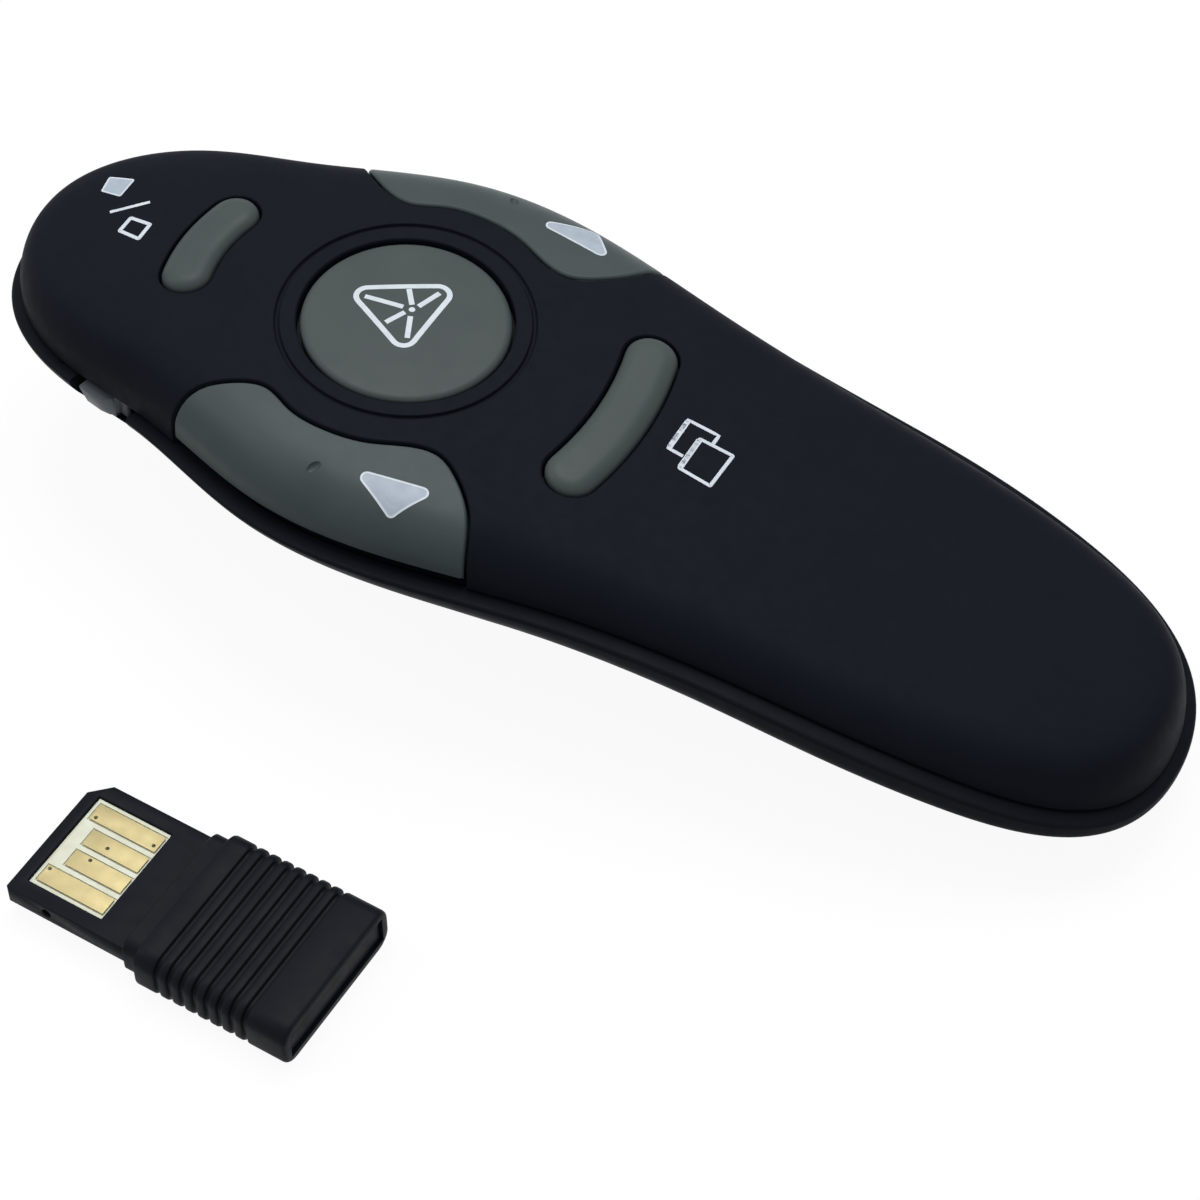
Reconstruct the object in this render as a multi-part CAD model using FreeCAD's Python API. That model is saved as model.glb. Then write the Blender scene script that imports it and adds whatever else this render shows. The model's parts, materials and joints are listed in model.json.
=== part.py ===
import FreeCAD
import Part
import math
import os

Vec = FreeCAD.Vector

# Lengths are millimetres. The origin lies on the resting plane straight below the round key's axis,
# +X runs to the tail, +Y to the right-hand side and +Z up.

# Top cover outline seen from above: reach to each end, half width, and the control points as shares
nose_reach = 34.66
tail_reach = 67.42
half_width = 19.67
station_shares = (0.0, 0.0, 0.07, 0.18, 0.30, 0.42, 0.54, 0.68, 0.84, 1.0, 1.0)
width_shares = (0.0, 0.257, 0.617, 0.685, 1.0, 0.989, 0.840, 0.762, 0.739, 0.479, 0.0)

# The cover stands back from the lower shell's rim, less at both ends: its growth there and who shares it
cover_growth = 0.4
cover_growth_shares = (1.0, 1.0, 1.0, 0.5, 0.0, 0.0, 0.0, 0.0, 0.0, 0.8, 0.8)

# Heights of the parting line, of the upright waist of both skins and of the crown, each given at the
# nose, at one third, at two thirds and at the tail
parting_nose = 16.03
parting_front = 16.52
parting_rear = 13.86
parting_tail = 5.71
waist_nose = 16.19
waist_front = 17.68
waist_rear = 13.31
waist_tail = 4.74
crown_nose = 20.47
crown_front = 22.54
crown_rear = 17.84
crown_tail = 11.00
dome = 0.23

# Section of the top cover: how far out and how far up from waist to crown each control row lies
upper_spread_shares = (1.0, 1.0, 1.0, 0.88, 0.70, 0.527, 0.0)
upper_rise_shares = (0.0, 0.0, 0.40, 0.92, 1.0, 1.0, 1.0)
upper_pull_share = 0.122

# Section of the lower shell: how far out each control row lies, and its height up to the waist
lower_spread_shares = (0.314, 0.453, 0.789, 1.035, 1.0, 1.0)
lower_height_shares = (0.0, 0.0, 0.60, 0.918, 1.0)
lower_pull_share = 0.424
rim_step = 1.20
rim_above = 3.0

# Where each section is split into narrow ruled bands, closer where it bends more
upper_band_shares = (0.0, 0.17, 0.21, 0.26, 0.32, 0.39, 0.46, 0.53, 0.60, 0.70, 0.84, 1.0)
upper_inner_shares = (0.0, 0.17, 0.26, 0.39, 0.53, 0.70, 0.84, 1.0)
lower_band_shares = (0.0, 0.04, 0.09, 0.15, 0.25, 0.40, 0.55, 0.65, 0.73, 0.80, 1.0)
lower_inner_shares = (0.0, 0.07, 0.16, 0.35, 0.55, 0.70, 0.80, 1.0)

# Shell walls, the seam between the shells and the tongue inside it
wall = 1.6
lower_wall = 1.7
seam_gap = 0.16
tongue_inset = 0.75
tongue_drop = 1.3
overrun = 20.0
bite = 0.4

# Keys
key_gap = 0.22
key_travel = 0.5
key_wall = 1.4
flange_margin = 0.8
flange_thick = 0.6
flange_gap = 0.15
flange_floor = 18.1
laser_key_radius = 8.5
laser_key_recess = 0.12
laser_key_edge = 0.25
groove_radius = 10.35
groove_width = 0.34
groove_depth = 0.3
slot_key_proud = 0.55
slot_key_edge = 0.45
key_sag = 0.25
blank_key_x = -18.75
blank_key_width = 4.1
blank_key_reach = 3.75
blank_key_bow = 14.5
window_key_x = 19.35
window_key_width = 4.3
window_key_reach = 6.85
window_key_bow = 30.0
page_key_head = -13.1
page_key_tail = 14.75
page_key_clear = 0.3
page_key_x_shares = (0.0, 0.06, 0.15, 0.25, 0.34, 0.47, 0.60, 0.71, 0.79, 0.87, 0.955, 1.0)
page_key_y_shares = (0.845, 0.722, 0.628, 0.590, 0.640, 0.668, 0.640, 0.574, 0.556, 0.615, 0.745, 0.905)

# Main board and its switches
board_top = 15.6
board_thick = 1.0
board_clearance = 0.5
board_tail = 28.0
switch_width = 5.2
switch_height = 1.2
switch_bore = 1.35
switch_corner = 0.3
plunger_radius = 1.2
plunger_stand = 0.6
plunger_depth = 0.6
post_radius = 1.5
page_switch_x = 6.3
page_switch_y = 13.3
chip_width = 5.0
chip_height = 0.9
chip_x = -14.0
chip_y = 3.0
crystal_length = 8.0
crystal_width = 3.4
crystal_height = 3.0
crystal_y = -6.5
part_length = 1.6
part_width = 0.8
part_height = 0.7
part_pitch = 2.4
part_count = 5
part_x = -18.0
part_y = 8.6

# Screws and bosses
boss_radius = 2.0
head_boss_x = -28.2
head_boss_y = 5.2
rear_boss_x = 19.6
rear_boss_y = 13.1
boss_split = 13.4
pilot_radius = 1.0
screw_radius = 0.95
screw_head_radius = 1.75
screw_head_height = 1.4
screw_reach = 4.2
screw_floor = 0.6
screw_gap = 0.1
driver_radius = 0.8
driver_depth = 0.6
driver_slit = 0.4
post_x = -10.5
post_y = 11.5
board_screw_radius = 0.7
board_screw_head = 1.4
board_screw_cap = 0.8
board_screw_reach = 4.0

# Battery bay, cells, contacts and door
cell_radius = 5.15
cell_length = 44.5
cell_nub_radius = 1.9
cell_nub_length = 0.8
cell_round = 0.5
cell_gap = 0.2
cell_height = 8.7
bay_head = -4.0
bay_gap = 0.4
bay_wall = 1.2
bay_wall_top = 12.0
contact_thick = 0.4
contact_width = 7.0
contact_base = 6.2
contact_top = 12.2
spring_length = 3.2
spring_thick = 0.3
spring_width = 4.0
spring_reach = 2.9
door_thick = 1.2
door_edge = 0.15
door_level = 3.3
door_rib = 0.8
door_rib_count = 3
door_rib_half = 9.0
door_tab_length = 2.6
door_tab_width = 8.0
door_tab_thick = 0.8
door_tab_reach = 1.6
grip_count = 5
grip_pitch = 1.6
grip_width = 0.6
grip_depth = 0.4
grip_length = 10.0
grip_start = 4.0

# Laser module in the nose
laser_height = 11.9
laser_radius = 2.5
laser_bore = 1.9
laser_length = 11.0
laser_nose_gap = 2.6
lens_radius = 1.85
lens_thick = 1.5
lens_edge = 0.4
lens_setback = 0.6
laser_mouth_radius = 1.5
window_radius = 2.0
window_thick = 0.8
window_collar = 0.6
window_sill = 0.6
diode_board_thick = 1.0
diode_radius = 1.6
diode_length = 3.6
saddle_thick = 1.2
saddle_gap = 0.1
saddle_offset = 3.0
lead_thick = 0.5
lead_spacing = 2.2
lead_run = 1.4

# Power slide switch on the left flank, measured along the flank and outward from it
power_x = -20.9
power_slot_length = 6.6
power_slot_height = 2.5
power_slot_drop = 0.35
power_knob_length = 2.4
power_knob_clear = 0.15
power_knob_proud = 0.7
power_knob_start = 1.5
power_knob_gap = 0.15
power_travel = 2.4
power_guard_thick = 0.4
power_guard_extra = 1.6
power_room = 1.6
power_room_depth = 3.0
power_lever_width = 1.2
power_lever_height = 0.5
power_lever_rise = 0.3
power_body_length = 7.0
power_body_depth = 2.8
power_body_height = 1.4
power_body_inset = 3.25
power_ridge_count = 3
power_ridge_width = 0.3

# Receiver, beside the clicker
receiver_x = 3.9
receiver_y = -45.6
receiver_turn = -4.0
plug_length = 11.2
plug_width = 12.0
plug_thick = 1.9
plug_base = 1.2
plug_chamfer = 1.5
plug_tail = 5.0
plug_ledge = 0.8
dot_radius = 0.4
dot_share = 0.33
pad_window_length = 7.0
pad_window_width = 9.2
pad_window_edge = 1.1
chip_board_thick = 0.8
chip_board_floor = 0.8
chip_board_gap = 0.05
chip_board_tail = 13.4
pad_count = 4
pad_thick = 0.08
pad_width = 1.6
pad_pitch = 2.25
pad_long = 6.3
pad_short = 5.3
pad_end = 0.3
sleeve_length = 15.4
sleeve_width = 14.0
sleeve_thick = 4.4
sleeve_edge = 0.8
sleeve_wall = 0.8
sleeve_collar = 1.4
sleeve_collar_in = 0.6
rib_count = 8
rib_pitch = 1.15
rib_groove = 0.45
rib_depth = 0.3
rib_start = 2.2
cap_recess = 0.6
cap_thick = 1.0
cap_gap = 0.05
receiver_chip_width = 4.0
receiver_chip_height = 0.7
receiver_chip_x = 6.0
receiver_crystal_x = 10.6
receiver_crystal_length = 2.2
receiver_crystal_width = 3.2
receiver_crystal_height = 0.6


def save(name, shape):
    """Write one piece under its own name and say how many solids it has."""
    shape.exportStep("parts/" + name + ".step")
    print(name, len(shape.Solids), "valid" if shape.isValid() else "INVALID", round(shape.Volume, 1))


def box(x0, x1, y0, y1, z0, z1):
    """Return a block between two corners."""
    return Part.makeBox(x1 - x0, y1 - y0, z1 - z0, Vec(x0, y0, z0))


def post(x, y, z0, z1, radius):
    """Return an upright cylinder."""
    return Part.makeCylinder(radius, z1 - z0, Vec(x, y, z0), Vec(0, 0, 1))


def rod(x0, x1, y, z, radius):
    """Return a cylinder lying along X."""
    return Part.makeCylinder(radius, x1 - x0, Vec(x0, y, z), Vec(1, 0, 0))


def mirrored(shape):
    """Return the same piece on the other side of the centre plane."""
    return shape.mirror(Vec(0, 0, 0), Vec(0, 1, 0))


def height_at(x, heights):
    """Cubic through four heights, evenly spaced from nose to tail."""
    t = (x + nose_reach) / (nose_reach + tail_reach)
    total = 0.0
    for i in range(len(heights)):
        weight = 1.0
        for j in range(len(heights)):
            if j != i:
                weight *= (3 * t - j) / (i - j)
        total += weight * heights[i]
    return total


def parting_at(x):
    """Height of the seam between the shells."""
    return height_at(x, (parting_nose, parting_front, parting_rear, parting_tail))


def waist_at(x):
    """Height at which both skins stand upright."""
    return height_at(x, (waist_nose, waist_front, waist_rear, waist_tail))


def crown_at(x):
    """Height of the crown line."""
    return height_at(x, (crown_nose, crown_front, crown_rear, crown_tail))


def grown(margins):
    """Control points of the half outline seen from above, each grown by its own margin."""
    points = []
    for station, share, margin in zip(station_shares, width_shares, margins):
        length = nose_reach + tail_reach + 2 * margin
        reach = share * half_width + margin if share > 0 else 0.0
        points.append((-nose_reach - margin + station * length, max(reach, 0.0)))
    return points


def outline(margin):
    """Outline grown by one margin all round."""
    return grown([margin] * len(station_shares))


def cover_outline(margin):
    """Outline of the top cover, which reaches further out at both ends, grown by a margin."""
    return grown([margin + share * cover_growth for share in cover_growth_shares])


def surface(rows):
    """Smooth surface over rows of control points, clamped at every edge."""
    across = len(rows)
    along = len(rows[0])
    poles = [[rows[j][i] for j in range(across)] for i in range(along)]
    u_knots = [i / (along - 3) for i in range(along - 2)]
    v_knots = [j / (across - 3) for j in range(across - 2)]
    u_mults = [4] + [1] * (along - 4) + [4]
    v_mults = [4] + [1] * (across - 4) + [4]
    patch = Part.BSplineSurface()
    patch.buildFromPolesMultsKnots(poles, u_mults, v_mults, u_knots, v_knots, False, False, 3, 3)
    return patch


def bands(rows, shares):
    """Narrow ruled faces between lengthwise curves of the smooth surface over the rows."""
    patch = surface(rows)
    curves = [patch.vIso(share).toShape() for share in shares]
    return [Part.makeRuledSurface(curves[i], curves[i + 1]) for i in range(len(curves) - 1)]


def flat_lid(faces, level):
    """Plane face closing the rim of the side faces at one height."""
    rim = []
    for face in faces:
        for edge in face.Edges:
            bounds = edge.BoundBox
            if abs(bounds.ZMax - level) < bite / 100 and bounds.ZLength < bite / 100 and bounds.YLength > bite:
                rim.append(edge)
    return Part.Face(Part.Wire(Part.__sortEdges__(rim)))


def closed(faces):
    """Sew faces into one solid."""
    shell = Part.makeShell(faces)
    shell.sewShape()
    solid = Part.Solid(shell)
    if solid.Volume < 0:
        solid.reverse()
    return solid


def flipped(rows):
    """Rows of control points mirrored to the other side."""
    return [[Vec(point.x, -point.y, point.z) for point in row] for row in rows]


def upper_body(inset):
    """Solid under the top cover's skin: straight walls, soft shoulder and crown, down to the resting plane."""
    middle = (tail_reach - nose_reach) / 2
    rows = []
    for j, (spread, rise) in enumerate(zip(upper_spread_shares, upper_rise_shares)):
        pull = 1 - (1 - spread) * upper_pull_share
        row = []
        for x, y in cover_outline(-inset):
            place = middle + (x - middle) * pull
            low = waist_at(x)
            high = crown_at(place) - inset
            z = 0.0 if j == 0 else low + (high - low) * rise
            if j > 4:
                z += dome
            row.append(Vec(place, y * spread, z))
        rows.append(row)
    shares = upper_inner_shares if inset > 0 else upper_band_shares
    sides = bands(rows, shares) + bands(flipped(rows), shares)
    return closed(sides + [flat_lid(sides, 0.0)])


def lower_body(inset):
    """Solid inside the lower shell's skin, with straight walls going on above the seam."""
    middle = (tail_reach - nose_reach) / 2
    lid = crown_front + overrun
    rows = []
    for j, spread in enumerate(lower_spread_shares):
        pull = 1 - (1 - spread) * lower_pull_share
        row = []
        for x, y in outline(rim_step - inset):
            if j < len(lower_height_shares):
                z = inset + (waist_at(x) - inset) * lower_height_shares[j]
            else:
                z = waist_at(x) + rim_above
            row.append(Vec(middle + (x - middle) * pull, y * spread, z))
        rows.append(row)
    shares = lower_inner_shares if inset > 0 else lower_band_shares
    sides = bands(rows, shares) + bands(flipped(rows), shares)
    for half in (rows, flipped(rows)):
        rim = surface(half).vIso(1.0)
        flat = rim.copy()
        for i, pole in enumerate(rim.getPoles()):
            flat.setPole(i + 1, Vec(pole.x, pole.y, lid))
        sides.append(Part.makeRuledSurface(rim.toShape(), flat.toShape()))
    return closed(sides + [flat_lid(sides, inset), flat_lid(sides, lid)])


def above_seam(offset):
    """Everything above the parting line moved up by an offset."""
    heights = (parting_nose, parting_front, parting_rear, parting_tail)
    second = (-5 * heights[0] + 18 * heights[1] - 9 * heights[2] + 2 * heights[3]) / 6
    third = (2 * heights[0] - 9 * heights[1] + 18 * heights[2] - 5 * heights[3]) / 6
    step = (nose_reach + tail_reach) / 3
    side = -half_width - overrun
    poles = []
    for i, z in enumerate((heights[0], second, third, heights[3])):
        poles.append(Vec(-nose_reach + i * step, side, z + offset))
    curve = Part.BezierCurve()
    curve.setPoles(poles)
    first = Vec(poles[0].x - overrun, side, poles[0].z)
    last = Vec(poles[-1].x + overrun, side, poles[-1].z)
    lid = crown_front + 2 * overrun
    top_last = Vec(last.x, side, lid)
    top_first = Vec(first.x, side, lid)
    edges = [Part.makeLine(first, poles[0]), curve.toShape(), Part.makeLine(poles[-1], last)]
    edges += [Part.makeLine(last, top_last), Part.makeLine(top_last, top_first), Part.makeLine(top_first, first)]
    return Part.Face(Part.Wire(edges)).extrude(Vec(0, -2 * side, 0))


def width_at(x, margin):
    """Point and direction of the outline at one station, on the side of +Y."""
    poles = [Vec(px, py, 0) for px, py in outline(margin)]
    count = len(poles)
    knots = [i / (count - 3) for i in range(count - 2)]
    curve = Part.BSplineCurve()
    curve.buildFromPolesMultsKnots(poles, [4] + [1] * (count - 4) + [4], knots, False, 3)
    low = 0.0
    high = 1.0
    while high - low > 1e-9:
        middle = (low + high) / 2
        if curve.value(middle).x < x:
            low = middle
        else:
            high = middle
    return curve.value(low), curve.tangent(low)[0]


def prism(face):
    """Upright prism through the whole housing over a flat outline."""
    return face.extrude(Vec(0, 0, crown_front + overrun))


def disc(radius):
    """Flat round outline about the round key's axis."""
    return Part.Face(Part.Wire(Part.makeCircle(radius, Vec(0, 0, 0))))


def slot_outline(x, width, reach, bow, margin):
    """Bent slot whose hollow side faces the round key, grown by a margin."""
    side = -1.0 if x > 0 else 1.0
    centre = x + side * bow
    half = width / 2 + margin
    angle = math.asin(reach / bow)

    def at(radius, turn):
        return Vec(centre - side * radius * math.cos(turn), radius * math.sin(turn), 0)

    caps = []
    for turn, sign in ((angle, 1), (-angle, -1)):
        along = Vec(side * math.sin(abs(turn)) * half, sign * math.cos(turn) * half, 0)
        caps.append(Part.Arc(at(bow + half, turn), at(bow, turn) + along, at(bow - half, turn)).toShape())
    outer = Part.Arc(at(bow + half, -angle), at(bow + half, 0), at(bow + half, angle)).toShape()
    inner = Part.Arc(at(bow - half, -angle), at(bow - half, 0), at(bow - half, angle)).toShape()
    return Part.Face(Part.Wire(Part.__sortEdges__([outer, caps[0], inner, caps[1]])))


def page_outline(margin):
    """Outline of a page key: a wavy inner edge, open past the flank, grown by a margin."""
    length = page_key_tail - page_key_head
    points = []
    for x_share, y_share in zip(page_key_x_shares, page_key_y_shares):
        points.append(Vec(page_key_head + x_share * length, y_share * half_width, 0))
    wave = Part.BSplineCurve()
    wave.interpolate(points)
    moved = []
    for i in range(2 * len(points) + 1):
        share = wave.FirstParameter + (wave.LastParameter - wave.FirstParameter) * i / (2 * len(points))
        along = wave.tangent(share)[0]
        moved.append(wave.value(share) + Vec(along.y, -along.x, 0) * margin)
    curve = Part.BSplineCurve()
    curve.interpolate(moved)
    far = half_width + overrun
    corners = [moved[-1], Vec(moved[-1].x, far, 0), Vec(moved[0].x, far, 0), moved[0]]
    edges = [curve.toShape()] + [Part.makeLine(corners[i], corners[i + 1]) for i in range(3)]
    return Part.Face(Part.Wire(edges))


def layer(shape, skins, outer, inner):
    """The part of a prism that lies between two skins."""
    return shape.common(skins[outer]).cut(skins[inner])


# Skins, each made once for its inset
flange_in = wall + flange_gap + flange_thick
clear_in = wall + board_clearance
upper = {}
for skin_inset in (0.0, bite, tongue_inset, key_wall, wall, wall + flange_gap, flange_in, clear_in):
    upper[skin_inset] = upper_body(skin_inset)
lower = {}
for skin_inset in (0.0, bite, door_thick, lower_wall, lower_wall + seam_gap):
    lower[skin_inset] = lower_body(skin_inset)

bay_tail = bay_head + 2 * contact_thick + cell_length + spring_length
bay_half = 2 * cell_radius + cell_gap / 2 + bay_gap
door_half = bay_half - door_edge
cell_side = cell_radius + cell_gap / 2
board_low = board_top - board_thick
switch_top = board_top + switch_height
plunger_top = switch_top + plunger_stand

slot_keys = {
    "blank": (blank_key_x, blank_key_width, blank_key_reach, blank_key_bow),
    "window": (window_key_x, window_key_width, window_key_reach, window_key_bow),
}
switch_places = {
    "laser": (0.0, 0.0),
    "blank": (blank_key_x, 0.0),
    "window": (window_key_x, 0.0),
    "page_left": (page_switch_x, -page_switch_y),
    "page_right": (page_switch_x, page_switch_y),
}
boss_places = []
for side in (-1, 1):
    boss_places.append((head_boss_x, side * head_boss_y))
    boss_places.append((rear_boss_x, side * rear_boss_y))


def key_hole(name, margin):
    """Prism of one key's outline grown by a margin."""
    if name == "laser":
        return prism(disc(laser_key_radius + margin))
    if name in slot_keys:
        return prism(slot_outline(*slot_keys[name], margin))
    right = prism(page_outline(margin))
    return right if name == "page_right" else mirrored(right)


def make_top_cover():
    """Crowned cover with key openings, ring groove, bosses and a tongue that runs on below the page keys."""
    cover = upper[0.0].cut(upper[wall]).common(above_seam(seam_gap / 2))
    tongue = upper[tongue_inset].cut(upper[wall]).common(above_seam(-tongue_drop))
    tongue = tongue.common(lower[lower_wall + seam_gap])
    cover = cover.fuse(tongue)
    for x, y in boss_places:
        boss = post(x, y, boss_split, crown_front + overrun, boss_radius)
        cover = cover.fuse(boss.common(upper[bite]).common(lower[lower_wall + seam_gap]))
    for name in switch_places:
        hole = key_hole(name, key_gap)
        if name.startswith("page"):
            hole = hole.common(above_seam(0.0))
        cover = cover.cut(hole)
    ring = prism(disc(groove_radius + groove_width / 2)).cut(prism(disc(groove_radius - groove_width / 2)))
    cover = cover.cut(ring.cut(upper_body(groove_depth)))
    for x, y in boss_places:
        cover = cover.cut(post(x, y, 0.0, boss_split + screw_reach + screw_gap, pilot_radius))
    reach = power_slot_length / 2 + power_room
    notch = box(-reach, reach, -power_room, power_room_depth + power_room, -overrun,
                power_slot_height + power_slot_drop - seam_gap)
    return cover.cut(on_flank(notch))


def power_frame():
    """Turn and place of the power switch on the left flank."""
    point, along = width_at(power_x, rim_step)
    turn = math.degrees(math.atan2(-along.y, along.x))
    low = parting_at(power_x) - power_slot_drop - power_slot_height
    return FreeCAD.Placement(Vec(point.x, -point.y, low), FreeCAD.Rotation(Vec(0, 0, 1), turn))


def on_flank(shape):
    """Put a piece that is drawn along the flank onto it."""
    shape.Placement = power_frame().multiply(shape.Placement)
    return shape


def bay_walls():
    """Bulkheads at both ends of the battery bay and the walls along its sides."""
    walls = box(bay_head - bay_wall, bay_head, -bay_half - bay_wall, bay_half + bay_wall, 0.0, board_low)
    tail = box(bay_tail, bay_tail + bay_wall, -bay_half - bay_wall, bay_half + bay_wall, 0.0, bay_wall_top)
    walls = walls.fuse(tail)
    for y0 in (-bay_half - bay_wall, bay_half):
        walls = walls.fuse(box(bay_head - bay_wall, bay_tail + bay_wall, y0, y0 + bay_wall, 0.0, bay_wall_top))
    return walls


def laser_saddles(nose):
    """Two ribs that carry the laser barrel."""
    ribs = []
    for x in (nose + saddle_offset, nose + laser_length - saddle_offset):
        rib = box(x - saddle_thick / 2, x + saddle_thick / 2, -laser_radius, laser_radius, 0.0, laser_height)
        ribs.append(rib.cut(rod(x - saddle_thick, x + saddle_thick, 0.0, laser_height, laser_radius + saddle_gap)))
    return ribs


def trimmed(shape):
    """Keep an inner rib inside the lower shell and clear of the top cover's wall and tongue."""
    level = -tongue_drop - screw_gap
    low = shape.common(lower[bite]).cut(above_seam(level))
    high = shape.common(upper[clear_in]).common(above_seam(level))
    return low.fuse(high)


def make_bottom_cover(laser_nose):
    """Lower shell with battery bay, posts, saddles and openings."""
    cover = lower[0.0].cut(lower[lower_wall]).cut(above_seam(-seam_gap / 2))
    walls = bay_walls()
    for x, y in boss_places:
        walls = walls.cut(post(x, y, boss_split - seam_gap, crown_front, boss_radius + screw_gap))
        walls = walls.fuse(post(x, y, 0.0, boss_split - seam_gap, boss_radius))
    cover = cover.fuse(trimmed(walls))
    for rib in laser_saddles(laser_nose):
        cover = cover.fuse(trimmed(rib))
    collar_x = laser_window_x() - window_sill
    collar = rod(collar_x, laser_nose, 0.0, laser_height, window_radius + window_collar)
    cover = cover.fuse(trimmed(collar))
    for side in (-1, 1):
        cover = cover.fuse(trimmed(post(post_x, side * post_y, 0.0, board_low, post_radius)))
    door_room = box(bay_head, tail_reach + overrun, -bay_half, bay_half, -overrun, door_level + door_edge)
    cover = cover.cut(door_room)
    tab_half = door_tab_width / 2 + door_edge
    tab_x = bay_head - door_tab_reach - door_edge
    tab_top = lower_wall + door_tab_thick + 2 * door_edge
    cover = cover.cut(box(tab_x, bay_head + bite, -tab_half, tab_half, lower_wall, tab_top))
    for x, y in boss_places:
        cover = cover.cut(post(x, y, -overrun, screw_seat(x, y), screw_head_radius + screw_gap))
        cover = cover.cut(post(x, y, -overrun, boss_split, pilot_radius))
    for side in (-1, 1):
        cover = cover.cut(post(post_x, side * post_y, board_low - board_screw_reach, board_top,
                               board_screw_radius + screw_gap / 2))
    cover = cover.cut(rod(-nose_reach - overrun, laser_nose, 0.0, laser_height, laser_mouth_radius))
    cover = cover.cut(rod(laser_window_x(), laser_nose + bite, 0.0, laser_height, window_radius))
    half = power_slot_length / 2
    slot = box(-half, half, -power_room_depth, lower_wall + power_room_depth, 0.0,
               power_slot_height + power_slot_drop)
    reach = half + power_room
    room = box(-reach, reach, lower_wall, lower_wall + power_room_depth, -power_knob_clear,
               power_slot_height + power_slot_drop)
    return cover.cut(on_flank(slot)).cut(on_flank(room))


def skin_height(body, x, y):
    """Lowest height of a skin above one point."""
    probe = Part.makeLine(Vec(x, y, -overrun), Vec(x, y, overrun)).common(body)
    return probe.BoundBox.ZMin


def screw_seat(x, y):
    """Height at which a case screw's head bears, deep enough to lie below the skin on its outer side too."""
    edge = y + math.copysign(screw_head_radius, y)
    return skin_height(lower[0.0], x, edge) + screw_head_height + screw_floor


def laser_window_x():
    """Place of the window's outer face: just behind the nose skin at the foot of the laser's mouth."""
    height = laser_height - laser_mouth_radius
    probe = Part.makeLine(Vec(-nose_reach - overrun, 0, height), Vec(0, 0, height)).common(lower[0.0])
    return probe.BoundBox.XMin + window_sill


def under_crown(x, reach, depth):
    """Everything below a plane that touches the crown line around one station, sunk by a depth."""
    slope = (crown_at(x + reach) - crown_at(x - reach)) / (2 * reach)
    half = half_width + overrun
    block = box(-half, half, -half, half, -half, 0.0)
    turn = FreeCAD.Rotation(Vec(0, 1, 0), -math.degrees(math.atan(slope)))
    block.Placement = FreeCAD.Placement(Vec(x, 0, crown_at(x) + dome - depth), turn)
    return block


def make_top_key(name, reach, depth, edge_size):
    """Key that moves in a hole of the crown: a plate with broken edges, a flange below and a post."""
    x, y = switch_places[name]
    flange_top = wall + flange_gap + key_sag
    plate = key_hole(name, 0.0).common(under_crown(x, reach, depth))
    plate = plate.cut(under_crown(x, reach, flange_top + flange_thick))
    rim = [edge for edge in plate.Edges if edge.BoundBox.ZMin > crown_at(x) + dome - flange_top]
    plate = plate.makeChamfer(edge_size, rim)
    flange = key_hole(name, flange_margin).common(under_crown(x, reach, flange_top))
    flange = flange.cut(under_crown(x, reach, flange_top + flange_thick))
    return plate.fuse(flange).fuse(post(x, y, plunger_top, crown_at(x) - wall, post_radius))


def make_page_key():
    """Flank key on the right: skin and skirt, thick crown, flange on the inner edge and post."""
    hole = key_hole("page_right", 0.0)
    shell = layer(hole, upper, 0.0, key_wall).common(above_seam(key_travel + page_key_clear))
    loft = crown_front + overrun
    inner = box(page_key_head - overrun, page_key_tail + overrun, 0.0, page_switch_y + switch_width / 2,
                flange_floor, loft)
    crown = layer(hole, upper, bite, flange_in).common(inner)
    flange = layer(key_hole("page_right", flange_margin), upper, wall + flange_gap, flange_in)
    flange = flange.common(inner)
    stem = post(page_switch_x, page_switch_y, plunger_top, loft, post_radius).common(upper[bite])
    return shell.fuse(crown).fuse(flange).fuse(stem)


def make_board():
    """Main board that follows the housing, with clearance for the bosses and the power switch."""
    plate = box(-nose_reach, board_tail, -half_width, half_width, board_low, board_top)
    plate = plate.common(upper[clear_in]).common(lower[lower_wall + seam_gap])
    for x, y in boss_places:
        plate = plate.cut(post(x, y, 0.0, board_top + overrun, boss_radius + screw_gap))
    for side in (-1, 1):
        plate = plate.cut(post(post_x, side * post_y, 0.0, board_top + overrun, board_screw_radius + screw_gap))
    reach = power_slot_length / 2 + power_room
    guard = box(-reach, reach, -overrun, power_body_inset - board_clearance / 2, -overrun, overrun)
    return plate.cut(on_flank(guard))


def make_switch(x, y):
    """Square switch body with a bore for its plunger."""
    half = switch_width / 2
    body = box(x - half, x + half, y - half, y + half, board_top, switch_top)
    corners = [edge for edge in body.Edges if edge.BoundBox.ZLength > switch_height / 2]
    body = body.makeChamfer(switch_corner, corners)
    return body.cut(post(x, y, 0.0, overrun, switch_bore))


def make_plunger(x, y):
    """Round plunger that the key's post bears on."""
    return post(x, y, switch_top - plunger_depth, plunger_top, plunger_radius)


def make_case_screws():
    """Four case screws from below, each with a cross recess in its head."""
    screws = []
    for x, y in boss_places:
        seat = screw_seat(x, y)
        screw = post(x, y, seat - screw_head_height, seat, screw_head_radius)
        screw = screw.fuse(post(x, y, seat, boss_split + screw_reach, screw_radius))
        for turn in (0, 90):
            slit = box(-driver_radius, driver_radius, -driver_slit / 2, driver_slit / 2, -overrun, driver_depth)
            slit.Placement = FreeCAD.Placement(Vec(x, y, seat - screw_head_height),
                                               FreeCAD.Rotation(Vec(0, 0, 1), turn))
            screw = screw.cut(slit)
        screws.append(screw)
    return Part.makeCompound(screws)


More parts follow.
